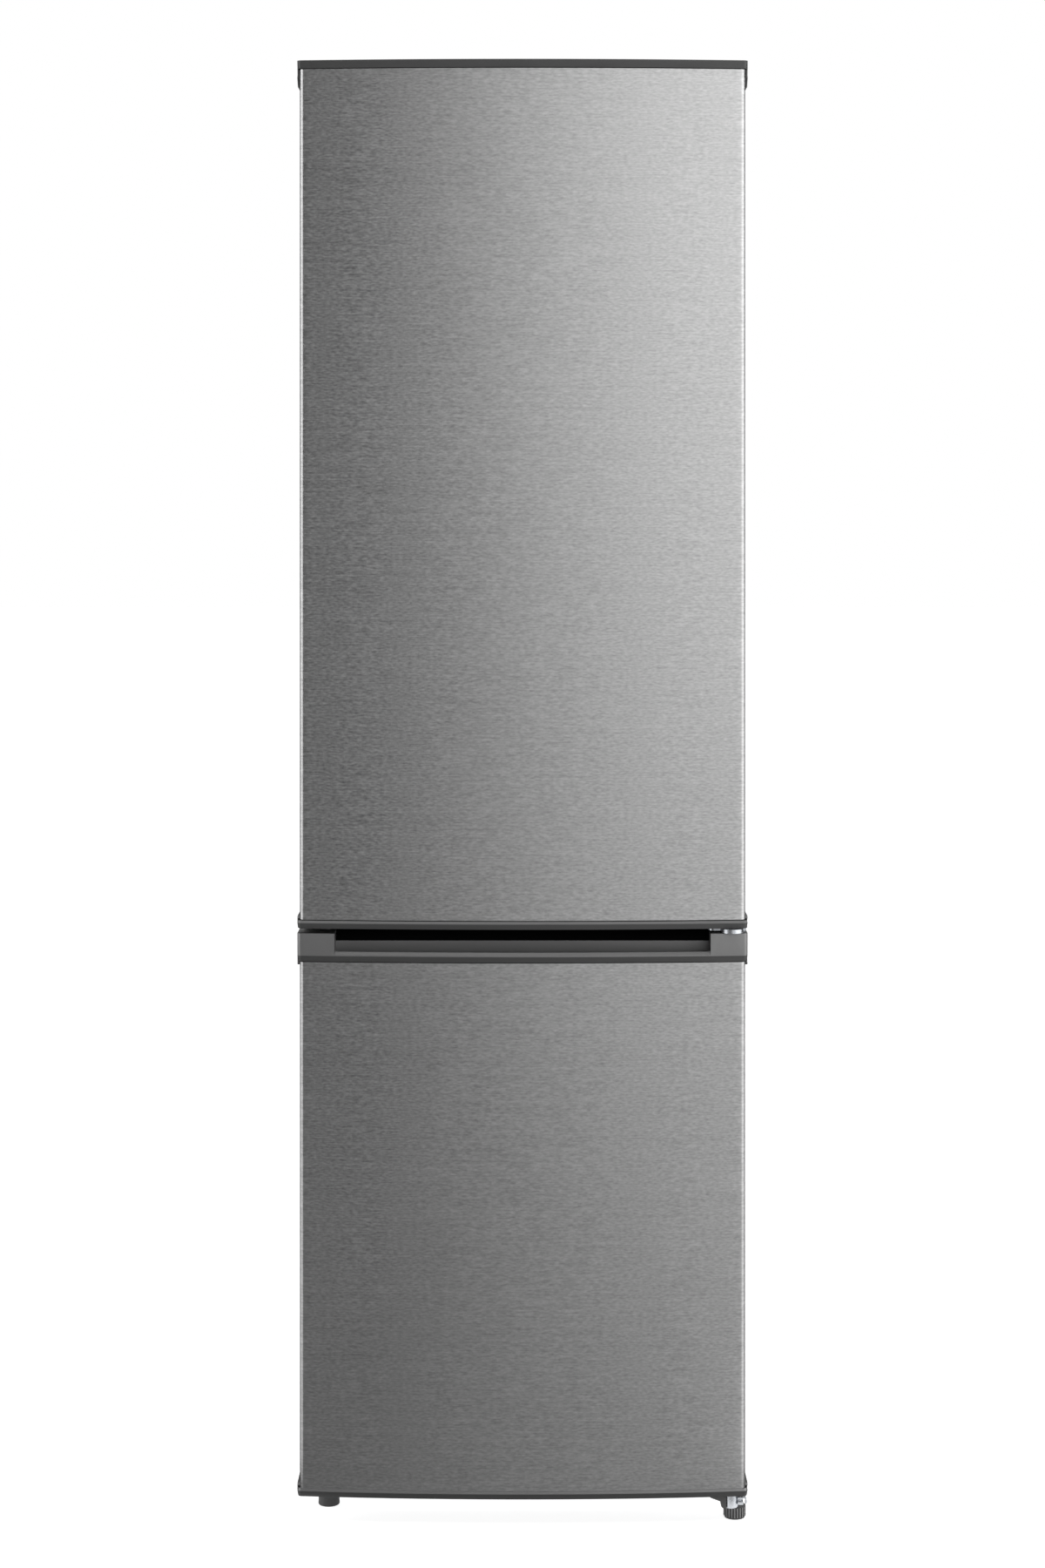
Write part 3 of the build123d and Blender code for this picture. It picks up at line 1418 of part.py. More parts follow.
def refrigerant_tubes():
    """Discharge pipe into the condenser's lowest run and the pipe from the compressor."""
    x = compressor_x + compressor_radius + 70
    y = compressor_y + 20
    rear = cabinet_back + condenser_stand_off
    rise = niche_roof - 30
    tube_end = serpentine_reach(condenser_half_width, condenser_low, condenser_high,
                                condenser_passes)
    feed = piped([(x, y, drier_low + drier_length), (x, y, rise), (x, rear, rise),
                  (-tube_end - 20, rear, rise), (-tube_end - 20, rear, condenser_low),
                  (-tube_end, rear, condenser_low)], pipe_bend, pipe_radius)
    wall = compressor_radius - 5.2
    pot_side = compressor_x + sqrt(wall ** 2 - (y - compressor_y - pipe_radius) ** 2)
    back = piped([(x, y, drier_low), (x, y, pipe_low + 10), (pot_side, y, pipe_low + 10)],
                 pipe_bend, pipe_radius)
    return [feed, back]


# Everything by name

def parts():
    """Every piece of the appliance under its node name."""
    shell = cabinet_shell()
    foam = insulation_foam()
    strip = mullion_strip()
    for seat in screw_seats():
        shell -= seat
        foam -= seat
        strip -= seat
    rail = front_base_rail()
    for seat in rail_screw_seats():
        rail -= seat
    low_bush = (freezer_door_low, freezer_door_low + end_cap_height + cap_plug_depth)
    mid_bush = (fridge_door_low, fridge_door_low + end_cap_height + cap_plug_depth)
    collar_room = mullion_plate_low() - middle_collar_height - middle_pocket_air
    return {
        "cabinet_shell": shell,
        "mullion_strip": strip,
        "back_panel": back_panel(),
        "base_sheet": base_sheet(),
        "insulation_foam": foam,
        "fridge_liner": fridge_liner(),
        "freezer_liner": freezer_liner(),
        "front_base_rail": rail,
        "top_hinge_bracket": top_hinge_bracket(),
        "top_hinge_cover": top_hinge_cover(),
        "middle_hinge_bracket": middle_hinge_bracket(),
        "bottom_hinge_bracket": bottom_hinge_bracket(),
        "bottom_hinge_stop": bottom_hinge_stop(),
        "hinge_pins": hinge_pins(),
        "hinge_screws": hinge_screws(),
        "glass_shelves": glass_shelves(),
        "shelf_trims": shelf_trims(),
        "control_console": control_console(),
        "lamp_lens": lamp_lens(),
        "fridge_evaporator": fridge_evaporator(),
        "freezer_evaporator": freezer_evaporator(),
        "compressor": compressor(),
        "compressor_grommets": compressor_grommets(),
        "compressor_terminal_cover": compressor_terminal_cover(),
        "compressor_rail": compressor_rail(),
        "evaporation_tray": evaporation_tray(),
        "drain_tube": drain_tube(),
        "filter_drier": filter_drier(),
        "refrigerant_tubes": refrigerant_tubes(),
        "condenser": condenser(),
        "condenser_spacers": condenser_spacers(),
        "roller_axles": roller_axles(),
        "crisper_drawer": crisper_drawer(),
        "freezer_drawer_upper": shelf_drawer(1),
        "freezer_drawer_middle": shelf_drawer(0),
        "freezer_drawer_lower": floor_drawer(),
        "thermostat_knob": thermostat_knob(),
        "light_switch_plunger": light_switch_plunger(),
        "left_foot_stud": foot_stud(left_foot_x, left_foot_y, 4, left_stud_top),
        "left_foot_pad": left_foot_pad(),
        "right_foot_stud": foot_stud(right_foot_x, right_foot_y, 4, right_stud_top),
        "right_foot_knob": right_foot_knob(),
        "left_roller": roller(-1),
        "right_roller": roller(1),
        "fridge_door_panel": door_panel(fridge_panel_low, top_cap_low),
        "fridge_door_top_cap": fridge_door_top_cap(),
        "fridge_door_bottom_cap": fridge_door_bottom_cap(),
        "fridge_door_liner": fridge_door_liner(),
        "fridge_door_foam": fridge_door_foam(),
        "fridge_door_gasket": gasket(fridge_door_low + gasket_split_margin,
                                     overall_height - gasket_end_margin),
        "fridge_door_bins": [hooked_bin(level, bin_height) for level in bin_levels],
        "fridge_door_bottle_bin": hooked_bin(bottle_bin_level, bottle_bin_height),
        "fridge_door_bushes": [pin_bush(*mid_bush, True),
                               pin_bush(top_cap_low - cap_plug_depth, pocket_floor, False)],
        "freezer_door_panel": door_panel(freezer_panel_low, handle_cap_low),
        "freezer_door_handle_cap": freezer_door_handle_cap(),
        "freezer_door_bottom_cap": low_end_cap(freezer_door_low),
        "freezer_door_liner": door_liner(freezer_panel_low, handle_cap_low, freezer_dyke(0),
                                         freezer_dyke(liner_sheet)),
        "freezer_door_foam": freezer_door_foam(),
        "freezer_door_gasket": gasket(freezer_door_low + gasket_end_margin,
                                      freezer_door_high - gasket_split_margin),
        "freezer_door_bushes": [pin_bush(*low_bush, True),
                                pin_bush(handle_cap_low - cap_plug_depth, collar_room, False)],
    }


os.makedirs("parts", exist_ok=True)
for name, piece in parts().items():
    solids = piece if isinstance(piece, list) else [piece]
    export_step(Compound(children=[Compound(solid.wrapped) for solid in solids])
                if len(solids) > 1 else solids[0], f"parts/{name}.step")
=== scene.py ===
import logging
from collections.abc import Callable
from dataclasses import dataclass, replace
from enum import Enum, IntEnum
from math import asin, atan2, radians, sqrt

import bmesh
import bpy
from mathutils import Matrix, Vector


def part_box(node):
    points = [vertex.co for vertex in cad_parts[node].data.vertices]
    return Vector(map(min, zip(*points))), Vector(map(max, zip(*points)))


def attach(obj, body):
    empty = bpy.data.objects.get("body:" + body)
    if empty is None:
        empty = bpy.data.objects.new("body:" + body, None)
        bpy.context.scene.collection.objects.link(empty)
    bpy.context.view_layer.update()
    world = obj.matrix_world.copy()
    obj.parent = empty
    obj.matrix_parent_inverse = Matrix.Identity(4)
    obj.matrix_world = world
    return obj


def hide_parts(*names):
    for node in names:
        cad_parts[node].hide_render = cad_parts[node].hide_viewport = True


# Bottom freezer refrigerator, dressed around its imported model. Metres, +Z up, +Y the back.

log = logging.getLogger("refrigerator")
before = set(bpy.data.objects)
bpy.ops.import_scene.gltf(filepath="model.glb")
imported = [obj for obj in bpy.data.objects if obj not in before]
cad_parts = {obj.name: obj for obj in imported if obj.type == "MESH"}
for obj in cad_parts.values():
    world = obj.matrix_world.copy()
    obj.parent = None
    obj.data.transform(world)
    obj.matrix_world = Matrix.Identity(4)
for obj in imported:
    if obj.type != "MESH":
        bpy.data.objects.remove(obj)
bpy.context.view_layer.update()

Colour = tuple[float, float, float, float]
Point = tuple[float, float, float]
Socket = bpy.types.NodeSocket
Value = Socket | float | tuple

MERGED = 1e-6
SAME = 1e-5


# Finishes


class Slot(Enum):
    """Material slots of the part's record."""

    PANEL = "brushed_panel"
    CAP = "dark_cap"
    PAINT = "cabinet_paint"
    GALVANISED = "galvanised"
    ZINC = "zinc"
    FOAM = "foam"
    LINER = "liner_white"
    TRAY = "clear_tray"
    GLASS = "shelf_glass"
    GASKET = "gasket_rubber"
    FOOT = "foot_plastic"
    BLACK = "black_paint"
    COPPER = "copper"
    PLATE = "aluminium_plate"


def grey(tone: float) -> Colour:
    """Returns a neutral colour of this linear tone."""
    return (tone, tone, tone, 1.0)


class Graph:
    """One node tree, with short calls that add and join its nodes."""

    def __init__(self, tree: bpy.types.NodeTree) -> None:
        """Takes the tree to fill.

        Args:
            tree: An empty shader node tree.
        """
        self.tree = tree

    def add(self, kind: str, settings: dict | None = None, **inputs: Value) -> bpy.types.Node:
        """Adds a node.

        Args:
            kind: The node's type without its ShaderNode prefix.
            settings: Properties of the node itself.
            **inputs: Input values or sockets by name, with underscores for spaces.

        Returns:
            The new node.
        """
        node = self.tree.nodes.new("ShaderNode" + kind)
        for key, value in (settings or {}).items():
            setattr(node, key, value)
        for key, value in inputs.items():
            self.put(node.inputs[key.replace("_", " ")], value)
        return node

    def put(self, socket: Socket, value: Value) -> None:
        """Links a socket to an output, or sets its value.

        Args:
            socket: The input to feed.
            value: An output socket, a number or a tuple.
        """
        if isinstance(value, Socket):
            self.tree.links.new(value, socket)
        else:
            socket.default_value = value

    def maths(self, operation: str, *values: Value) -> Socket:
        """Adds a math operation.

        Args:
            operation: The Math node's operation.
            *values: Its inputs, in order.

        Returns:
            The result.
        """
        node = self.tree.nodes.new("ShaderNodeMath")
        node.operation = operation
        for socket, value in zip(node.inputs, values):
            self.put(socket, value)
        return node.outputs[0]

    def noise(self, vector: Socket, scale: Value, detail: float = 3.0,
              rough: float = 0.55) -> Socket:
        """Returns the value of a noise texture read at a vector."""
        node = self.add("TexNoise", Vector=vector, Scale=scale, Detail=detail, Roughness=rough)
        return node.outputs["Fac"]

    def remap(self, value: Value, span: tuple[float, float],
              to: tuple[float, float] = (0.0, 1.0)) -> Socket:
        """Moves a value from one range to another and holds it at the ends.

        Args:
            value: The value to move.
            span: Its own range.
            to: The new range.

        Returns:
            The moved value.
        """
        node = self.add("MapRange", Value=value)
        for key, number in zip(("From Min", "From Max", "To Min", "To Max"), (*span, *to)):
            self.put(node.inputs[key], number)
        return node.outputs["Result"]

    def stretched(self, scale: Point = (1.0, 1.0, 1.0)) -> Socket:
        """Returns the object coordinates scaled along each axis."""
        place = self.add("TexCoord").outputs["Object"]
        return self.add("Mapping", Vector=place, Scale=scale).outputs["Vector"]

    def blend(self, factor: Value, first: Value, second: Value, mode: str = "MIX") -> Socket:
        """Mixes two colours.

        Args:
            factor: The share of the second.
            first: The first colour.
            second: The second colour.
            mode: The blend type.

        Returns:
            The mixed colour.
        """
        node = self.add("Mix", {"data_type": "RGBA", "blend_type": mode})
        for socket, value in zip((node.inputs["Factor"], node.inputs[6], node.inputs[7]),
                                 (factor, first, second)):
            self.put(socket, value)
        return node.outputs[2]

    def mean(self, first: Socket, second: Socket) -> Socket:
        """Returns the mean of two values."""
        return self.maths("ADD", self.maths("MULTIPLY", first, 0.5),
                          self.maths("MULTIPLY", second, 0.5))

    def swing(self, value: Socket, contrast: Value) -> Socket:
        """Returns a tone about 1 that follows a value about a half."""
        return self.maths("MULTIPLY_ADD", self.maths("SUBTRACT", value, 0.5), contrast, 1.0)


class Effect:
    """A shader node group that several finishes use, built once."""

    groups: dict[str, bpy.types.NodeTree] = {}

    @classmethod
    def group(cls, name: str, inputs: dict[str, float], outputs: tuple[str, ...],
              fill: Callable[[Graph, bpy.types.Node], tuple]) -> bpy.types.NodeTree:
        """Builds the group the first time it is asked for.

        Args:
            name: The group's name.
            inputs: Default numbers of its float inputs by name.
            outputs: Names of its float outputs.
            fill: Function of a Graph and the input node that returns the output values.

        Returns:
            The shared node tree.
        """
        if name not in cls.groups:
            tree = bpy.data.node_groups.new(name, "ShaderNodeTree")
            for key, value in inputs.items():
                socket = tree.interface.new_socket(key, in_out="INPUT",
                                                   socket_type="NodeSocketFloat")
                socket.default_value = value
            for key in outputs:
                tree.interface.new_socket(key, in_out="OUTPUT", socket_type="NodeSocketFloat")
            graph = Graph(tree)
            entry = tree.nodes.new("NodeGroupInput")
            leave = tree.nodes.new("NodeGroupOutput")
            for socket, value in zip(leave.inputs, fill(graph, entry)):
                graph.put(socket, value)
            cls.groups[name] = tree
        return cls.groups[name]

    @staticmethod
    def place(graph: Graph, tree: bpy.types.NodeTree, **inputs: Value) -> bpy.types.Node:
        """Puts a shared group into a material.

        Args:
            graph: The material's graph.
            tree: The shared group.
            **inputs: Input values by name.

        Returns:
            The group node.
        """
        node = graph.tree.nodes.new("ShaderNodeGroup")
        node.node_tree = tree
        for key, value in inputs.items():
            graph.put(node.inputs[key], value)
        return node

    @classmethod
    def brushing(cls) -> bpy.types.NodeTree:
        """Returns horizontal brush lines: Tone about 1, and Height."""

        def fill(graph: Graph, entry: bpy.types.Node) -> tuple[Socket, Socket]:
            """Adds up three sizes of streak, by their shares."""
            mixed = 0.0
            for scale, detail, rough, share in (
                    ((24.0, 24.0, 1500.0), 2.0, 0.6, 0.3), ((1.2, 1.2, 330.0), 3.0, 0.6, 0.1),
                    ((170.0, 170.0, 520.0), 2.0, 0.5, 0.6)):
                streak = graph.noise(graph.stretched(scale), 1.0, detail, rough)
                mixed = graph.maths("ADD", mixed, graph.maths("MULTIPLY", streak, share))
            return graph.swing(mixed, entry.outputs["Contrast"]), mixed

        return cls.group("brush_lines", {"Contrast": 0.3}, ("Tone", "Height"), fill)

    @classmethod
    def moulding(cls) -> bpy.types.NodeTree:
        """Returns the fine texture and slow tone drift of moulded or sprayed surfaces."""

        def fill(graph: Graph, entry: bpy.types.Node) -> tuple[Socket, Socket]:
            """Adds a fine texture at half strength to a slow drift."""
            place = graph.stretched()
            fine = graph.noise(place, entry.outputs["Scale"], 3.0, 0.6)
            drift = graph.maths("SUBTRACT", graph.noise(place, 4.0, 4.0, 0.6), 0.5)
            speck = graph.maths("MULTIPLY", graph.maths("SUBTRACT", fine, 0.5), 0.5)
            both = graph.maths("ADD", drift, speck)
            tone = graph.maths("MULTIPLY_ADD", both, entry.outputs["Contrast"], 1.0)
            return tone, fine

        return cls.group("mould_texture", {"Scale": 900.0, "Contrast": 0.2},
                         ("Tone", "Height"), fill)

    @classmethod
    def dust(cls) -> bpy.types.NodeTree:
        """Returns a mask of dust that settles on faces that look up."""

        def fill(graph: Graph, entry: bpy.types.Node) -> tuple[Socket]:
            """Lays patches on what looks up."""
            normal = graph.add("NewGeometry").outputs["Normal"]
            up = graph.add("SeparateXYZ", Vector=normal).outputs["Z"]
            flat = graph.remap(up, (0.35, 1.0))
            patch = graph.noise(graph.stretched(), 38.0, 5.0, 0.65)
            mask = graph.maths("MULTIPLY", flat, graph.remap(patch, (0.3, 0.7), (0.3, 1.0)))
            return (graph.maths("MULTIPLY", mask, entry.outputs["Amount"]),)

        return cls.group("settled_dust", {"Amount": 0.1}, ("Mask",), fill)

    @classmethod
    def wear(cls) -> bpy.types.NodeTree:
        """Returns a mask of the thin rubbed line along outer edges."""

        def fill(graph: Graph, entry: bpy.types.Node) -> tuple[Socket]:
            """Breaks up the line where a rounded normal leaves the true one."""
            bevel = graph.add("Bevel", {"samples": 4}, Radius=entry.outputs["Radius"])
            true = graph.add("NewGeometry").outputs["True Normal"]
            node = graph.add("VectorMath", {"operation": "DOT_PRODUCT"})
            graph.put(node.inputs[0], bevel.outputs["Normal"])
            graph.put(node.inputs[1], true)
            bent = graph.maths("SUBTRACT", 1.0, node.outputs["Value"])
            patch = graph.noise(graph.stretched(), 140.0, 4.0, 0.6)
            line = graph.remap(bent, (0.02, 0.25))
            return (graph.maths("MULTIPLY", line, graph.remap(patch, (0.35, 0.65), (0.2, 1.0))),)

        return cls.group("edge_wear", {"Radius": 0.0006}, ("Mask",), fill)


@dataclass(frozen=True)
class Finish:
    """A surface finish. Subclasses add their own pattern to the same shader."""

    name: str
    slot: Slot
    colour: Colour
    metallic: float = 0.0
    rough: float = 0.45
    rough_spread: float = 0.12
    contrast: float = 0.2
    grain: float = 900.0
    bump: float = 0.00002
    dust: float = 0.06
    wear: float = 0.0
    wear_colour: Colour = (0.5, 0.5, 0.5, 1.0)
    wear_radius: float = 0.0008
    dust_colour: Colour = (0.42, 0.40, 0.37, 1.0)
    coat: float = 0.0
    specular: float = 0.5
    transmission: float = 0.0
    ior: float = 1.5
    alpha: float = 1.0

    def material(self) -> bpy.types.Material:
        """Returns the file's material of this name, the frame's own included, or builds it."""
        found = bpy.data.materials.get(self.name)
        return found or self.build()

    def pattern(self, graph: Graph) -> tuple[Socket, Socket]:
        """Returns the tone multiplier and the height of the surface's fine texture."""
        node = Effect.place(graph, Effect.moulding(), Scale=self.grain, Contrast=self.contrast)
        return node.outputs["Tone"], node.outputs["Height"]

    def build(self) -> bpy.types.Material:
        """Builds the shader.

        Returns:
            The new material.
        """
        material = bpy.data.materials.new(self.name)
        material.use_nodes = True
        material.diffuse_color = self.colour
        graph = Graph(material.node_tree)
        shader = material.node_tree.nodes["Principled BSDF"]
        tone, height = self.pattern(graph)
        colour = graph.blend(1.0, self.colour, tone, "MULTIPLY")
        if self.wear:
            worn = Effect.place(graph, Effect.wear(), Radius=self.wear_radius).outputs["Mask"]
            colour = graph.blend(graph.maths("MULTIPLY", worn, self.wear), colour,
                                 self.wear_colour)
        if self.dust:
            dusty = Effect.place(graph, Effect.dust(), Amount=self.dust).outputs["Mask"]
            colour = graph.blend(dusty, colour, self.dust_colour)
        graph.put(shader.inputs["Base Color"], colour)
        half = self.rough_spread / 2
        spread = graph.remap(height, (0.3, 0.7), (self.rough - half, self.rough + half))
        graph.put(shader.inputs["Roughness"], spread)
        bump = graph.add("Bump", Height=height, Strength=1.0, Distance=self.bump)
        graph.put(shader.inputs["Normal"], bump.outputs["Normal"])
        for key, value in (("Metallic", self.metallic), ("Coat Weight", self.coat),
                           ("Specular IOR Level", self.specular), ("IOR", self.ior),
                           ("Transmission Weight", self.transmission), ("Alpha", self.alpha)):
            shader.inputs[key].default_value = value
        self.adjust(shader)
        return material

    def adjust(self, shader: bpy.types.Node) -> None:
        """Leaves room for a finish to set more of the shader's own values."""


@dataclass(frozen=True)
class BrushedFinish(Finish):
    """Satin steel brushed from side to side."""

    anisotropy: float = 0.35

    def pattern(self, graph: Graph) -> tuple[Socket, Socket]:
        """Returns the tone and height of the brush lines."""
        node = Effect.place(graph, Effect.brushing(), Contrast=self.contrast)
        return node.outputs["Tone"], node.outputs["Height"]

    def adjust(self, shader: bpy.types.Node) -> None:
        """Stretches the highlight across the brush lines."""
        shader.inputs["Anisotropic"].default_value = self.anisotropy
        tangent = shader.id_data.nodes.new("ShaderNodeTangent")
        tangent.direction_type = "UV_MAP"
        tangent.uv_map = "sheet"
        shader.id_data.links.new(tangent.outputs["Tangent"], shader.inputs["Tangent"])


@dataclass(frozen=True)
class SpangledFinish(Finish):
    """Zinc coat with large crystals."""

    cell: float = 110.0

    def pattern(self, graph: Graph) -> tuple[Socket, Socket]:
        """Returns the tone and height of the crystals."""
        place = graph.stretched()
        cells = graph.add("TexVoronoi", Vector=place, Scale=self.cell)
        shade = graph.add("SeparateColor", Color=cells.outputs["Color"]).outputs["Red"]
        fine = graph.noise(place, 900.0, 2.0)
        return graph.swing(shade, self.contrast), graph.mean(shade, fine)


@dataclass(frozen=True)
class FoamFinish(Finish):
    """Rigid foam with open pores."""

    cell: float = 420.0

    def pattern(self, graph: Graph) -> tuple[Socket, Socket]:
        """Returns the tone and height of the pores."""
        place = graph.stretched()
        cells = graph.add("TexVoronoi", Vector=place, Scale=self.cell)
        pore = graph.remap(cells.outputs["Distance"], (0.0, 0.5))
        cloud = graph.noise(place, 14.0, 4.0)
        return graph.swing(graph.mean(pore, cloud), self.contrast), pore


STEEL = BrushedFinish("satin_brushed_steel", Slot.PANEL, grey(0.42), metallic=1.0, rough=0.34,
                      rough_spread=0.1, contrast=1.3, bump=0.000006, dust=0.0)
CAP = Finish("dark_moulded_cap", Slot.CAP, grey(0.031), rough=0.52, contrast=0.16, dust=0.03,
             specular=0.8, ior=1.45, bump=0.000012)
PAINT = Finish("silver_grey_paint", Slot.PAINT, (0.20, 0.20, 0.205, 1.0), metallic=0.35,
               rough=0.42, contrast=0.10, grain=520.0, bump=0.00003, wear=0.3, coat=0.1)
GALVANISED = SpangledFinish("galvanised_sheet", Slot.GALVANISED, (0.5, 0.51, 0.52, 1.0),
                            metallic=0.95, rough=0.42, contrast=0.35, bump=0.00001)
ZINC = SpangledFinish("zinc_plate", Slot.ZINC, (0.55, 0.57, 0.60, 1.0), metallic=1.0,
                      rough=0.32, contrast=0.06, cell=500.0, bump=0.00001, dust=0.03)
FOAM = FoamFinish("rigid_foam", Slot.FOAM, (0.80, 0.70, 0.46, 1.0), rough=0.85,
                  contrast=0.35, bump=0.0002)
LINER = Finish("white_liner", Slot.LINER, (0.82, 0.83, 0.83, 1.0), rough=0.28, contrast=0.025,
               grain=600.0, bump=0.00001, dust=0.03)
TRAY = Finish("clear_tray_plastic", Slot.TRAY, (0.92, 0.96, 0.97, 1.0), rough=0.12,
              rough_spread=0.06, contrast=0.04, grain=300.0, bump=0.00001, dust=0.0,
              transmission=0.85, ior=1.49)
# The frame has materials called shelf_glass, gasket_rubber, foot_plastic and aluminium_plate
# already, so these four finishes aren't built: their pieces keep the frame's plain material.
GLASS = Finish("shelf_glass", Slot.GLASS, (0.82, 0.95, 0.91, 1.0), rough=0.03,
               rough_spread=0.02, contrast=0.02, grain=60.0, bump=0.000001, dust=0.02,
               transmission=1.0, ior=1.52)
GASKET = Finish("gasket_rubber", Slot.GASKET, grey(0.16), rough=0.65, contrast=0.14,
                bump=0.00003, dust=0.08)
FOOT = Finish("foot_plastic", Slot.FOOT, grey(0.02), rough=0.5, specular=0.2, contrast=0.35,
              grain=700.0, bump=0.00004, dust=0.05, wear=0.12, wear_colour=grey(0.24))
PLATE = Finish("aluminium_plate", Slot.PLATE, grey(0.75), metallic=1.0, rough=0.4,
               contrast=0.12, grain=300.0)

BLACK = Finish("black_enamel", Slot.BLACK, grey(0.018), rough=0.35, contrast=0.2, grain=420.0,
               bump=0.00004, dust=0.15, wear=0.15)
# Paler copy of the cap for upward chamfers and the grip's lip: a painted highlight where light
# falls from above.
CAP_PAINTED_HIGHLIGHT = replace(CAP, name="painted_highlight_cap_chamfer", colour=grey(0.115))
# Lighter copy of the cap for the handle's end blocks and the freezer bottom cap's chamfer: its
# paler colour is painted light, its stronger specular and IOR a real sheen.
CAP_PAINTED_LIGHT = replace(CAP, name="painted_light_cap", colour=grey(0.044), rough=0.5,
                    specular=1.0, ior=1.85)
# Black band along the skin's ends where they meet the caps: painted shade of the joint.
SEAM_PAINTED_SHADE = Finish("painted_seam_shade", Slot.PANEL, grey(0.012), rough=0.7, contrast=0.2, dust=0.0,
              specular=0.2)
# Near-black finish for the top of the handle's grip: painted shade.
CAVITY = Finish("painted_cavity_shade", Slot.CAP, grey(0.002), rough=0.95, contrast=0.2, dust=0.0,
                specular=0.05)
# Paler plastic for the outer faces of the knob's ribs.
FOOT_RIB = Finish("pale_rib_crest_plastic", Slot.FOOT, grey(0.27), rough=0.45, contrast=0.5,
                  grain=500.0, bump=0.00003, dust=0.1)
COPPER = Finish("copper_tube", Slot.COPPER, (0.72, 0.36, 0.22, 1.0), metallic=1.0, rough=0.3,
                contrast=0.3, grain=90.0, bump=0.00001)

NODE_FINISHES = {finish.slot.value: finish for finish in (
    STEEL, CAP, PAINT, GALVANISED, ZINC, FOAM, LINER, TRAY, GLASS, GASKET, FOOT, BLACK,
    COPPER, PLATE)}


# Mesh helpers


def placed(name: str, data: bpy.types.ID) -> bpy.types.Object:
    """Returns a new object of some data, linked to the scene."""
    item = bpy.data.objects.new(name, data)
    bpy.context.scene.collection.objects.link(item)
    return item


def verts_in(geom: list) -> list:
    """Returns the vertices among some mesh elements."""
    return [item for item in geom if isinstance(item, bmesh.types.BMVert)]


class Mesher:
    """Builds one piece with bmesh and hands it over to a body."""

    def __init__(self) -> None:
        """Starts an empty mesh."""
        self.bm = bmesh.new()

    def bevel(self, edges: list, width: float, segments: int) -> None:
        """Rounds the given edges."""
        bmesh.ops.bevel(self.bm, geom=edges, offset=width, offset_type="OFFSET",
                        affect="EDGES", segments=segments, profile=0.5, material=-1,
                        clamp_overlap=True)

    def plate(self, outline: list[Point], rise: Point) -> list:
        """Adds a flat plate with a straight wall.

        Args:
            outline: The corners of one face, in order.
            rise: The way from that face to the opposite one.

        Returns:
            The plate's faces.
        """
        bm = self.bm
        known = set(bm.faces)
        face = [bm.faces.new([bm.verts.new(corner) for corner in outline])]
        run = bmesh.ops.extrude_face_region(bm, geom=face, use_keep_orig=True)["geom"]
        bmesh.ops.translate(bm, vec=rise, verts=verts_in(run))
        faces = [f for f in bm.faces if f not in known]
        bmesh.ops.recalc_face_normals(bm, faces=faces)
        return faces

    def edges(self, faces: list, along: Point) -> list:
        """Finds the edges of some faces that run along a direction.

        Args:
            faces: The faces.
            along: The direction, as a unit vector.

        Returns:
            The edges.
        """
        way = Vector(along)
        found = {edge for face in faces for edge in face.edges}
        return [e for e in found
                if abs((e.verts[1].co - e.verts[0].co).normalized().dot(way)) > 0.999]

    def cut(self, point: Point, normal: Point) -> None:
        """Scores the whole mesh along a plane."""
        bm = self.bm
        bmesh.ops.bisect_plane(bm, geom=bm.verts[:] + bm.edges[:] + bm.faces[:], dist=MERGED,
                               plane_co=point, plane_no=normal)

    def tidy(self) -> None:
        """Merges doubles and turns the faces outward."""
        bmesh.ops.remove_doubles(self.bm, verts=self.bm.verts, dist=MERGED)
        bmesh.ops.recalc_face_normals(self.bm, faces=self.bm.faces)

    def finish(self, name: str, body: str, look: Finish, nodes: tuple = (),
               sharp: float = 32.0) -> bpy.types.Object:
        """Turns the mesh into a piece of the object.

        Args:
            name: The piece's name.
            body: The body that it rides on.
            look: Its finish.
            nodes: CAD nodes that it stands for.
            sharp: Angle in degrees above which an edge stays sharp.

        Returns:
            The new object.
        """
        mesh = bpy.data.meshes.new(name)
        self.bm.to_mesh(mesh)
        self.bm.free()
        mesh.shade_smooth()
        mesh.set_sharp_from_angle(angle=radians(sharp))
        piece = placed(name, mesh)
        mesh.materials.append(look.material())
        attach(piece, body)
        if nodes:
            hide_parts(*nodes)
        log.info("built %s on %s", name, body)
        return piece


def round_edges(piece: bpy.types.Object, width: float, segments: int = 2) -> None:
    """Rounds a piece's sharp edges with a live bevel.

    Args:
        piece: The finished object.
        width: The bevel's width.
        segments: Its number of steps.
    """
    modifier = piece.modifiers.new("rounded", "BEVEL")
    modifier.width = width
    modifier.segments = segments
    modifier.limit_method = "ANGLE"
    modifier.angle_limit = radians(35)
    modifier.harden_normals = True


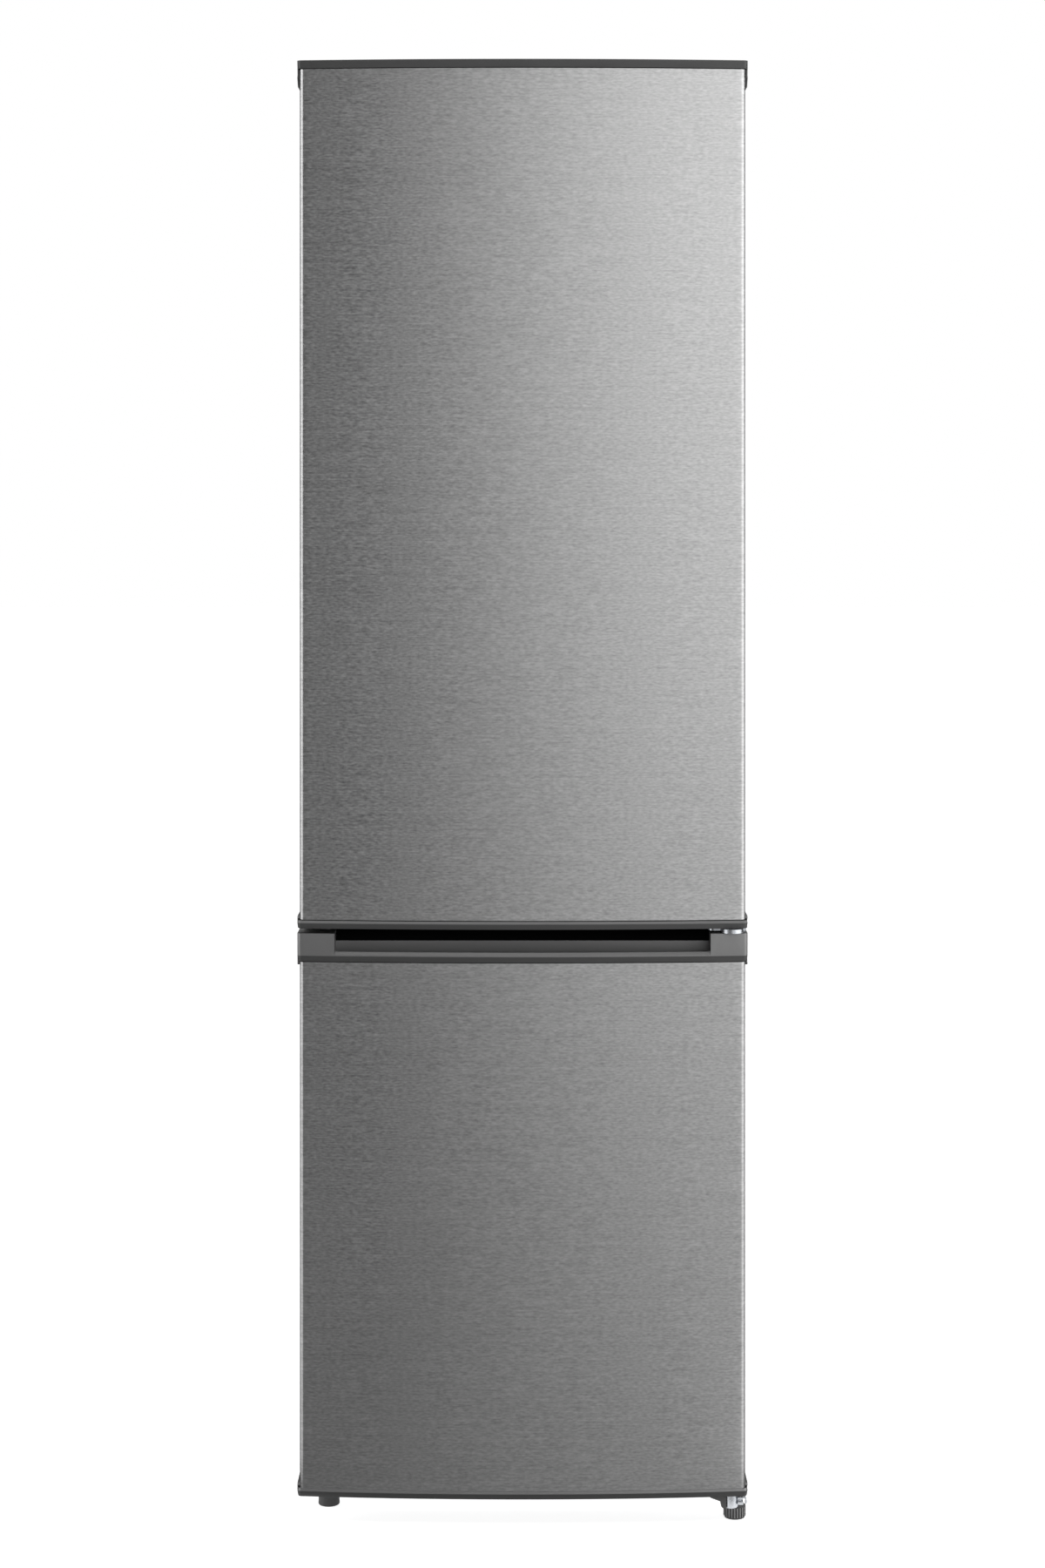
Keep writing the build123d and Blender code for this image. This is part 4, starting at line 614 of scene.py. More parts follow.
@dataclass
class BowedSkin:
    """Steel skin of a door: a bowed sheet with round front corners and folded rear edges."""

    name: str
    body: str
    node: str
    bow: float = 0.012
    front_inset: float = 0.0015
    cap_overhang: float = 0.003
    corner: float = 0.0072
    rear_corner: float = 0.0015
    fold: float = 0.010
    sheet: float = 0.0006
    groove: float = 0.0002
    # Widths of the black bands at the skin's bottom and top: painted shade.
    seam_shade_widths: tuple[float, float] = (0.0010, 0.0010)
    columns: int = 96

    def build(self) -> bpy.types.Object:
        """Builds the skin in the place of its CAD node.

        Returns:
            The finished piece.
        """
        low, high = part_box(self.node)
        low.z += self.groove
        high.z -= self.groove
        half = high.x
        reach = half + self.cap_overhang
        radius = (reach ** 2 + self.bow ** 2) / (2 * self.bow)
        centre = low.y - self.front_inset + radius
        radius -= self.front_inset
        side = centre - sqrt(radius ** 2 - half ** 2)
        made = Mesher()
        bm = made.bm
        start = bm.verts.new((-half, side, low.z))
        bmesh.ops.spin(bm, geom=[start], cent=(0, centre, low.z), axis=(0, 0, 1),
                       angle=2 * asin(half / radius), steps=self.columns)
        ends = [v for v in bm.verts if len(v.link_edges) == 1]
        for step in (Vector((0, high.y - side, 0)), Vector((self.fold, 0, 0))):
            moved = bmesh.ops.extrude_vert_indiv(bm, verts=ends)["verts"]
            for vert in moved:
                way = 1 if vert.co.x < 0 else -1
                vert.co += Vector((step.x * way, step.y, 0))
            ends = moved
        run = bmesh.ops.extrude_edge_only(bm, edges=bm.edges[:])["geom"]
        bmesh.ops.translate(bm, vec=(0, 0, high.z - low.z),
                            verts=verts_in(run))
        corners = [e for e in bm.edges if e.verts[0].co.z != e.verts[1].co.z
                   and abs(abs(e.verts[0].co.x) - half) < SAME]
        front = [e for e in corners if e.verts[0].co.y < high.y - self.fold]
        rear = [e for e in corners if e not in front]
        made.bevel(front, self.corner, 10)
        made.bevel(rear, self.rear_corner, 3)
        made.tidy()
        shade_band_low, shade_band_high = low.z + self.seam_shade_widths[0], high.z - self.seam_shade_widths[1]
        for level in (shade_band_low, shade_band_high):
            made.cut((0, 0, level), (0, 0, 1))
        # Faces in the end bands get the black second material: painted shade where the skin meets
        # the caps.
        for face in bm.faces:
            middle = face.calc_center_median().z
            face.material_index = int(not shade_band_low - MERGED < middle < shade_band_high)
        if sum(f.normal.y * f.calc_area() for f in bm.faces) > 0:
            bmesh.ops.reverse_faces(bm, faces=bm.faces)
        bmesh.ops.solidify(bm, geom=bm.faces[:], thickness=self.sheet)
        layer = bm.loops.layers.uv.new("sheet")
        for face in bm.faces:
            for loop in face.loops:
                loop[layer].uv = (loop.vert.co.x - loop.vert.co.y, loop.vert.co.z)
        piece = made.finish(self.name, self.body, STEEL, (self.node,), sharp=40.0)
        piece.data.materials.append(SEAM_PAINTED_SHADE.material())
        return piece


@dataclass
class SoftenedCopy:
    """A CAD piece with its coplanar triangles joined and its edges slightly rounded."""

    node: str
    body: str
    look: Finish
    width: float = 0.0004
    segments: int = 2

    def build(self) -> bpy.types.Object:
        """Builds the rounded copy in the place of its CAD node.

        Returns:
            The finished piece.
        """
        made = Mesher()
        bm = made.bm
        bm.from_mesh(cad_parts[self.node].data)
        bmesh.ops.remove_doubles(bm, verts=bm.verts, dist=MERGED)
        bmesh.ops.dissolve_limit(bm, angle_limit=radians(0.2), verts=bm.verts,
                                 edges=bm.edges, use_dissolve_boundaries=False)
        self.shape(made)
        piece = made.finish(self.node + "_finished", self.body, self.look, (self.node,))
        if self.width:
            round_edges(piece, self.width, self.segments)
        return piece

    def shape(self, made: Mesher) -> None:
        """Leaves room for a piece to change its merged copy."""


class CapFace(IntEnum):
    """Materials of an end cap's mesh beside its own."""

    CHAMFER = 1
    CAVITY = 2
    BLOCK = 3


@dataclass
class EndCap(SoftenedCopy):
    """A door's end cap, whose bowed front leans back above and below a ridge."""

    look: Finish = CAP
    lean: float = 0.0012
    low_ridge: float = 0.0
    high_ridge: float = 0.0
    corner: float = 0.006
    bow: float = 0.012
    rim: float = 0.001
    # The chamfers' paler finish is a painted highlight.
    chamfer: Finish = CAP_PAINTED_HIGHLIGHT
    chamfer_rise: tuple[float, float] = (0.12, 0.9)
    face_low: float = 0.0
    face_high: float = 0.0

    def build(self) -> bpy.types.Object:
        """Builds the cap and gives its upward chamfers a paler finish, a painted highlight.

        Returns:
            The finished piece.
        """
        piece = super().build()
        piece.data.materials.append(self.chamfer.material())
        flattest, steepest = self.chamfer_rise
        # Upward front faces get the paler finish: a painted highlight.
        for face in piece.data.polygons:
            if flattest < face.normal.z < steepest and face.normal.y < -0.3:
                face.material_index = CapFace.CHAMFER
        return piece

    def shape(self, made: Mesher) -> None:
        """Scores the ridges and pulls the edges beyond them back."""
        bm = made.bm
        low = min(v.co.y for v in bm.verts)
        half = max(v.co.x for v in bm.verts)
        radius = (half ** 2 + self.bow ** 2) / (2 * self.bow)
        side = low + self.bow + 2 * self.corner
        made.cut((0, side, 0), (0, 1, 0))
        for ridge in (self.low_ridge, self.high_ridge):
            if ridge:
                made.cut((0, 0, ridge), (0, 0, 1))
        bm.normal_update()
        moves = []
        for vert in bm.verts:
            place = vert.co
            at_edge = ((self.low_ridge and abs(place.z - self.face_low) < SAME)
                       or (self.high_ridge and abs(place.z - self.face_high) < SAME))
            out = radius - Vector((place.x, place.y - low - radius)).length
            at_rim = out < self.rim or abs(place.x) > half - self.corner
            if at_edge and at_rim and place.y < side - SAME:
                way = Vector((vert.normal.x, vert.normal.y, 0))
                if way.length > 0.2 and way.y < 0.3:
                    moves.append((vert, way.normalized() * -self.lean))
        for vert, move in moves:
            vert.co += move


@dataclass
class HandleCap(EndCap):
    """The freezer door's top cap, with a grip scooped out and painted shade at its top."""

    grip_half: float = 0.236
    side_half: float = 0.270
    bow_reach: float = 0.013
    top_round: float = 0.0024
    painted_shade_above: float = 0.7135
    painted_shade_behind: float = 0.014
    ridge_margin: float = 0.001

    def shape(self, made: Mesher) -> None:
        """Rounds the end blocks' upper outer edges after the ridges are scored."""
        super().shape(made)
        high = max(v.co.z for v in made.bm.verts)
        front = min(v.co.y for v in made.bm.verts)
        level = [e for e in made.bm.edges if all(v.co.z > high - SAME for v in e.verts)
                 and len(e.link_faces) == 2
                 and min(f.normal.z for f in e.link_faces) < 0.3]
        outer = [e for e in level if all(abs(v.co.x) > self.grip_half for v in e.verts)
                 and (all(abs(v.co.x) > self.side_half for v in e.verts)
                      or all(v.co.y < front + self.bow_reach for v in e.verts))]
        made.bevel(outer, self.top_round, 4)

    def build(self) -> bpy.types.Object:
        """Builds the cap, paints shade on the top of the grip with a near-black finish, and
        paints light on what stands above the ridge with lighter copies of the cap.

        Returns:
            The finished piece.
        """
        piece = super().build()
        piece.data.materials.append(CAVITY.material())
        piece.data.materials.append(CAP_PAINTED_LIGHT.material())
        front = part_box(self.node)[0].y
        for face in piece.data.polygons:
            place = face.center
            inside = abs(place.x) < self.grip_half
            # Front faces high and deep in the grip get the near-black finish: painted shade.
            if (inside and place.z > self.painted_shade_above and place.y > front + self.painted_shade_behind
                    and face.normal.y < -0.2):
                face.material_index = CapFace.CAVITY
            # Above the ridge, front faces get the lighter copy and upward faces in the grip the
            # paler one: painted light.
            elif place.z > self.low_ridge - self.ridge_margin:
                if face.normal.z < self.chamfer_rise[0]:
                    face.material_index = CapFace.BLOCK
                elif inside:
                    face.material_index = CapFace.CHAMFER
        return piece


@dataclass
class DoorFoam(SoftenedCopy):
    """A door's foam, kept inside the skin's round corners."""

    look: Finish = FOAM
    width: float = 0.0
    corner: float = 0.0072
    corner_depth: float = 0.0118
    clearance: float = 0.0007
    skin: str = "fridge_door_panel"

    def shape(self, made: Mesher) -> None:
        """Pulls what stands outside the corners into them."""
        low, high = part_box(self.skin)
        depth = low.y + self.corner_depth + self.corner
        reach = self.corner - self.clearance
        for vert in made.bm.verts:
            side = 1 if vert.co.x > 0 else -1
            centre = Vector((side * (high.x - self.corner), depth))
            off = vert.co.to_2d() - centre
            if off.x * side > 0 and off.y < 0 and off.length > reach:
                place = centre + off.normalized() * reach
                vert.co.x, vert.co.y = place.x, place.y


def rounded_nodes(body: str, rows: dict[str, tuple[Finish, float]]) -> None:
    """Builds softened copies of a body's plainer nodes.

    Args:
        body: The body that they ride on.
        rows: The finish and the edge rounding of each node.
    """
    for node, (look, width) in rows.items():
        SoftenedCopy(node, body, look, width).build()


@dataclass
class Door:
    """What both doors have alike."""

    body: str
    cap_drop: float = 0.0097
    cap_ridges: tuple[float, float] = (0.0064, 0.0066)

    @property
    def panel(self) -> str:
        """Returns the name of the skin's CAD node."""
        return self.body + "_panel"

    def bottom_cap(self, chamfer: Finish) -> None:
        """Builds the cap under the skin.

        Args:
            chamfer: The paler finish of its upward chamfer, a painted highlight.
        """
        skin_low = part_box(self.panel)[0].z
        bottom = skin_low - self.cap_drop
        low, high = self.cap_ridges
        EndCap(self.body + "_bottom_cap", self.body, chamfer=chamfer, low_ridge=bottom + low,
               high_ridge=bottom + high, face_low=bottom, face_high=skin_low).build()

    def inside(self) -> None:
        """Builds the foam, the liner and the gasket."""
        DoorFoam(self.body + "_foam", self.body, skin=self.panel).build()
        rounded_nodes(self.body, {self.body + "_liner": (LINER, 0.0025),
                                  self.body + "_gasket": (GASKET, 0.0018)})


@dataclass
class FridgeDoor(Door):
    """Upper door: skin, end caps and what hangs inside."""

    body: str = "fridge_door"
    top_ridge: float = 0.0012

    def build(self) -> None:
        """Builds the door's pieces."""
        BowedSkin("fridge_door_skin", self.body, self.panel).build()
        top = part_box("fridge_door_top_cap")[1].z
        EndCap("fridge_door_top_cap", self.body, low_ridge=top - self.top_ridge,
               face_low=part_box(self.panel)[1].z, face_high=top).build()
        # The bottom cap's chamfer gets the paler copy of the cap: a painted highlight.
        self.bottom_cap(CAP_PAINTED_HIGHLIGHT)
        self.inside()
        rounded_nodes(self.body, {"fridge_door_bins": (TRAY, 0.0012),
                                  "fridge_door_bottle_bin": (TRAY, 0.0012)})


@dataclass
class FreezerDoor(Door):
    """Lower door: skin, bottom cap and the cap that is its handle."""

    body: str = "freezer_door"
    handle_ridge: float = 0.0070

    def build(self) -> None:
        """Builds the door's pieces."""
        BowedSkin("freezer_door_skin", self.body, self.panel, groove=0.0001,
                  seam_shade_widths=(0.0, 0.0010)).build()
        skin_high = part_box(self.panel)[1].z
        HandleCap("freezer_door_handle_cap", self.body, low_ridge=skin_high + self.handle_ridge,
                  face_low=skin_high).build()
        # The bottom cap's chamfer gets the lighter copy of the cap: painted light.
        self.bottom_cap(CAP_PAINTED_LIGHT)
        self.inside()


@dataclass
class MiddleHinge(SoftenedCopy):
    """Zinc bracket between the doors, with a round nose in the gap."""

    node: str = "middle_hinge_bracket"
    body: str = "cabinet"
    look: Finish = ZINC
    nose_radius: float = 0.0138
    nose_low: float = 0.7286
    nose_high: float = 0.7336
    nose_front: float = 0.0035
    nose_flat: float = 0.0002

    def shape(self, made: Mesher) -> None:
        """Adds the nose in front of the pin."""
        pin_low, pin_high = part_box("freezer_door_bushes")
        x = (pin_low.x + pin_high.x) / 2
        y = (pin_low.y + pin_high.y) / 2
        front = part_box("freezer_door_handle_cap")[0].y + self.nose_front
        left, right = x - self.nose_radius, x + self.nose_radius
        low = self.nose_low
        faces = made.plate([(left, y, low), (left, front, low), (right, front, low),
                            (right, y, low)], (0, 0, self.nose_high - low))
        corners = [e for e in made.edges(faces, (0, 0, 1)) if e.verts[0].co.y < front + 10 * SAME]
        made.bevel(corners, self.nose_radius - self.nose_flat, 14)


@dataclass
class BottomHinge:
    """Lower bracket: arm, flange, lug and the curled end beside the right foot."""

    body: str = "cabinet"
    thick: float = 0.003
    softened: float = 0.0004
    arm_level: float = 0.024
    arm_plan: tuple = ((0.236, -0.2220), (0.248, -0.2440), (0.270, -0.2440), (0.272, -0.2420))
    arm_corner: float = 0.0012
    flange_right: float = 0.249
    flange_corner: float = 0.003
    lug_sides: tuple[float, float] = (0.2655, 0.2725)
    lug_depth: tuple[float, float] = (-0.2475, -0.2385)
    lug_bars: tuple = ((0.0205, 0.0045), (0.0272, 0.0034))
    lug_corner: float = 0.001
    curl_centre: Point = (0.2715, -0.2465, 0.0245)
    curl_length: float = 0.010
    curl_turn: float = 130.0
    curl_radius: float = 0.0056
    curl_thick: float = 0.0015
    stop_front: float = -0.2478
    stop_depth: float = 0.0135
    stop_corner: float = 0.0012
    stop_outline: tuple = (
        (0.2312, 0.0345), (0.2312, 0.0296), (0.2445, 0.0248), (0.2450, 0.0185),
        (0.2482, 0.0158), (0.2515, 0.0158), (0.2515, 0.0345))

    def build(self) -> None:
        """Builds the bracket and the stop beside it."""
        self.bracket()
        self.stop()

    def bracket(self) -> None:
        """Builds the zinc bracket."""
        made = Mesher()
        low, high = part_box("bottom_hinge_bracket")
        rear = high.y
        plan = ((self.arm_plan[0][0], rear), *self.arm_plan, (self.arm_plan[-1][0], rear))
        arm = made.plate([(x, y, self.arm_level) for x, y in plan], (0, 0, self.thick))
        made.bevel(made.edges(arm, (0, 0, 1)), self.arm_corner, 3)
        face, foot = rear - self.thick, self.arm_level
        flange = made.plate([(low.x, face, foot), (self.flange_right, face, foot),
                             (self.flange_right, face, high.z), (low.x, face, high.z)],
                            (0, self.thick, 0))
        made.bevel(made.edges(flange, (0, 1, 0)), self.flange_corner, 4)
        (left, right), (front, back) = self.lug_sides, self.lug_depth
        for z, tall in self.lug_bars:
            lug = made.plate([(left, front, z), (right, front, z), (right, back, z),
                              (left, back, z)], (0, 0, tall))
            ends = made.edges(lug, (0, 1, 0)) + made.edges(lug, (1, 0, 0))
            made.bevel(ends, self.lug_corner, 3)
        self.curl(made)
        made.tidy()
        piece = made.finish("bottom_hinge_bracket_finished", self.body, ZINC,
                            ("bottom_hinge_bracket",))
        round_edges(piece, self.softened)

    def curl(self, made: Mesher) -> None:
        """Adds the sheet end that is rolled over to the right."""
        bm = made.bm
        known = set(bm.faces)
        centre = Vector(self.curl_centre)
        start = bm.verts.new(centre + Vector((0, 0, self.curl_radius)))
        end = bm.verts.new(centre + Vector((0, self.curl_length, self.curl_radius)))
        edge = bm.edges.new((start, end))
        bmesh.ops.spin(bm, geom=[start, end, edge], cent=centre, axis=(0, 1, 0),
                       angle=radians(self.curl_turn), steps=14)
        faces = [f for f in bm.faces if f not in known]
        bmesh.ops.recalc_face_normals(bm, faces=faces)
        bmesh.ops.solidify(bm, geom=faces, thickness=self.curl_thick)

    def stop(self) -> None:
        """Builds the dark plastic stop on the arm's left edge."""
        made = Mesher()
        faces = made.plate([(x, self.stop_front, z) for x, z in self.stop_outline],
                           (0, self.stop_depth, 0))
        made.bevel(made.edges(faces, (0, 1, 0)), self.stop_corner, 3)
        piece = made.finish("bottom_hinge_stop_finished", self.body, FOOT,
                            ("bottom_hinge_stop",))
        round_edges(piece, self.softened)


@dataclass
class LevellingKnob:
    """Right foot: a hand-turned knob with deep ribs and a plain base."""

    body: str = "right_foot"
    ribs: int = 24
    depth: float = 0.0014
    base: float = 0.0022
    rim: float = 0.0006
    crest: float = 0.0003

    def build(self) -> None:
        """Builds the knob around its stud."""
        low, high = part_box("right_foot_knob")
        centre = (low + high) / 2
        radius = (high.x - low.x) / 2
        made = Mesher()
        bm = made.bm
        wall_low = low.z + self.base
        tall = high.z - wall_low
        middle = Matrix.Translation((centre.x, centre.y, wall_low + tall / 2))
        bmesh.ops.create_cone(bm, cap_ends=True, segments=4 * self.ribs, radius1=radius,
                              radius2=radius, depth=tall, matrix=middle)
        bm.normal_update()
        walls = [f for f in bm.faces if abs(f.normal.z) < 0.5]
        walls.sort(key=lambda f: atan2(f.normal.y, f.normal.x))
        grooves = [f for index, f in enumerate(walls) if index % 4 in (0, 1)]
        bmesh.ops.inset_region(bm, faces=grooves, thickness=self.rim * 0.4, depth=-self.depth,
                               use_even_offset=True)
        under = [f for f in bm.faces if f.normal.z < -0.9 and len(f.verts) > 20]
        bmesh.ops.inset_region(bm, faces=under, thickness=self.rim * 2)
        foot = bmesh.ops.extrude_face_region(bm, geom=under)["geom"]
        bmesh.ops.translate(bm, vec=(0, 0, -self.base), verts=verts_in(foot))
        bmesh.ops.delete(bm, geom=[f for f in under if f.is_valid], context="FACES")
        top = [f for f in bm.faces if f.normal.z > 0.9 and len(f.verts) > 20]
        bmesh.ops.inset_region(bm, faces=top, thickness=self.rim * 4, depth=0.0)
        bmesh.ops.inset_region(bm, faces=top, thickness=self.rim * 0.3, depth=-self.rim)
        made.tidy()
        bm.normal_update()
        # The outer faces of the ribs get the paler plastic.
        for face in bm.faces:
            place = face.calc_center_median()
            out = (place - centre).to_2d().length
            face.material_index = int(abs(face.normal.z) < 0.5 and out > radius - self.crest
                                      and place.z > wall_low)
        piece = made.finish("right_foot_knob_finished", self.body, FOOT, ("right_foot_knob",),
                            sharp=25.0)
        piece.data.materials.append(FOOT_RIB.material())
        round_edges(piece, 0.0002, 1)


@dataclass
class Cabinet:
    """Shell, liners, shelves and fittings that stand still."""

    body: str = "cabinet"

    def build(self) -> None:
        """Builds the cabinet's pieces."""
        rounded_nodes(self.body, {
            "cabinet_shell": (PAINT, 0.0007), "mullion_strip": (PAINT, 0.0003),
            "base_sheet": (GALVANISED, 0.0004), "front_base_rail": (GALVANISED, 0.0004),
            "fridge_liner": (LINER, 0.003), "freezer_liner": (LINER, 0.003),
            "top_hinge_bracket": (ZINC, 0.0004), "top_hinge_cover": (CAP, 0.0008),
            "hinge_pins": (ZINC, 0.0003), "hinge_screws": (ZINC, 0.0003),
            "shelf_trims": (LINER, 0.0006), "glass_shelves": (GLASS, 0.0006),
            "control_console": (LINER, 0.0015), "lamp_lens": (TRAY, 0.001)})


@dataclass
class CoolingUnit:
    """Compressor, tray, pipes and what carries them at the back."""

    body: str = "cabinet"

    def build(self) -> None:
        """Builds the machine compartment's pieces."""
        rounded_nodes(self.body, {
            "compressor": (BLACK, 0.0012), "compressor_grommets": (GASKET, 0.0004),
            "compressor_terminal_cover": (FOOT, 0.0012), "compressor_rail": (GALVANISED, 0.0004),
            "evaporation_tray": (LINER, 0.001), "filter_drier": (COPPER, 0.0005),
            "drain_tube": (FOOT, 0.0), "condenser_spacers": (FOOT, 0.0006),
            "refrigerant_tubes": (COPPER, 0.0), "roller_axles": (ZINC, 0.0003),
            "fridge_evaporator": (PLATE, 0.0), "freezer_evaporator": (PLATE, 0.0),
            "condenser": (BLACK, 0.0)})


@dataclass
class LooseParts:
    """Drawers, knob, switch, feet and rollers, which move on their own."""

    drawers: tuple[str, ...] = ("crisper_drawer", "freezer_drawer_upper",
                                "freezer_drawer_middle", "freezer_drawer_lower")
    rollers: tuple[str, ...] = ("left_roller", "right_roller")

    def build(self) -> None:
        """Builds each loose part on its own body."""
        for body in self.drawers:
            rounded_nodes(body, {body: (TRAY, 0.0012)})
        rounded_nodes("thermostat_knob", {"thermostat_knob": (LINER, 0.0008)})
        rounded_nodes("light_switch_plunger", {"light_switch_plunger": (LINER, 0.0005)})
        for body in self.rollers:
            rounded_nodes(body, {body: (FOOT, 0.0004)})
        rounded_nodes("left_foot", {"left_foot_pad": (FOOT, 0.0006),
                                    "left_foot_stud": (ZINC, 0.0002)})
        rounded_nodes("right_foot", {"right_foot_stud": (ZINC, 0.0002)})


def dress_nodes() -> None:
    """Gives every CAD node the finish of its material slot."""
    slots = {name: node.data.materials[0].name.split(".")[0]
             for name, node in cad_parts.items()}
    for name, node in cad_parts.items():
        look = NODE_FINISHES[slots[name]]
        node.data.materials.clear()
        node.data.materials.append(look.material())
        log.info("dressed %s in %s", name, look.name)


# Studio


def bare_material(name: str) -> tuple[bpy.types.Material, Graph]:
    """Starts a material without a shader.

    Args:
        name: The material's name.

    Returns:
        The material and its graph.
    """
    material = bpy.data.materials.new(name)
    material.use_nodes = True
    tree = material.node_tree
    tree.nodes.remove(tree.nodes["Principled BSDF"])
    return material, Graph(tree)


def upright(start: tuple, end: tuple, low: float, high: float) -> tuple:
    """Returns the corners of a sheet that stands between two points of the plan."""
    return ((*start, low), (*end, low), (*start, high), (*end, high))


def level(sides: tuple, depth: tuple, z: float) -> tuple:
    """Returns the corners of a level sheet from its ranges on X and Y."""
    return tuple((x, y, z) for y in depth for x in sides)


@dataclass(frozen=True)
class Lamp:
    """One soft area lamp, aimed at a point, that no surface mirrors."""

    name: str
    place: Point
    aim: Point
    size: tuple[float, float]
    power: float

    def build(self) -> None:
        """Adds the lamp."""
        data = bpy.data.lights.new(self.name, "AREA")
        data.shape = "RECTANGLE"
        data.size, data.size_y = self.size
        data.energy = self.power
        lamp = placed(self.name, data)
        lamp.location = self.place
        way = Vector(self.aim) - Vector(self.place)
        lamp.rotation_euler = way.to_track_quat("-Z", "Y").to_euler()
        lamp.visible_glossy = False


@dataclass(frozen=True)
class Card:
    """A large sheet, dark or bright, that only shiny surfaces show.

    Its tone runs over span along axis. With right_tones it also runs from left to right, over
    a width of spread[0] that grows by spread[1] for each metre to the front.
    """

    name: str
    corners: tuple
    tones: tuple[float, float]
    right_tones: tuple[float, float] | None = None
    axis: int = 2
    span: tuple[float, float] = (0.0, 3.0)
    spread: tuple[float, float] = (0.22, 0.05)

    def build(self) -> None:
        """Hangs the sheet."""
        mesh = bpy.data.meshes.new(self.name)
        bm = bmesh.new()
        bmesh.ops.create_grid(bm, x_segments=1, y_segments=1, size=1.0)
        ordered = sorted(bm.verts, key=lambda v: (v.co.y, v.co.x))
        for vert, corner in zip(ordered, self.corners):
            vert.co = corner
        bm.to_mesh(mesh)
        bm.free()
        card = placed(self.name, mesh)
        mesh.materials.append(self.material())
        for ray in ("camera", "diffuse", "shadow", "transmission", "volume_scatter"):
            setattr(card, "visible_" + ray, False)

    def material(self) -> bpy.types.Material:
        """Builds the sheet's glow.

        Returns:
            The new material.
        """
        material, graph = bare_material(self.name)
        place = graph.add("SeparateXYZ", Vector=graph.stretched())
        along = place.outputs[self.axis]
        tone = graph.remap(along, self.span, self.tones)
        if self.right_tones:
            bright = graph.remap(along, self.span, self.right_tones)
            far = graph.maths("MULTIPLY_ADD", place.outputs["Y"], -self.spread[1],
                              self.spread[0])
            across = graph.maths("DIVIDE", place.outputs["X"], far)
            part = graph.remap(across, (-1.0, 1.0))
            tone = graph.maths("ADD", tone, graph.maths(
                "MULTIPLY", graph.maths("SUBTRACT", bright, tone), part))
        glow = graph.add("Emission", Color=grey(1.0), Strength=tone)
        output = graph.tree.nodes["Material Output"]
        graph.put(output.inputs["Surface"], glow.outputs[0])
        return material


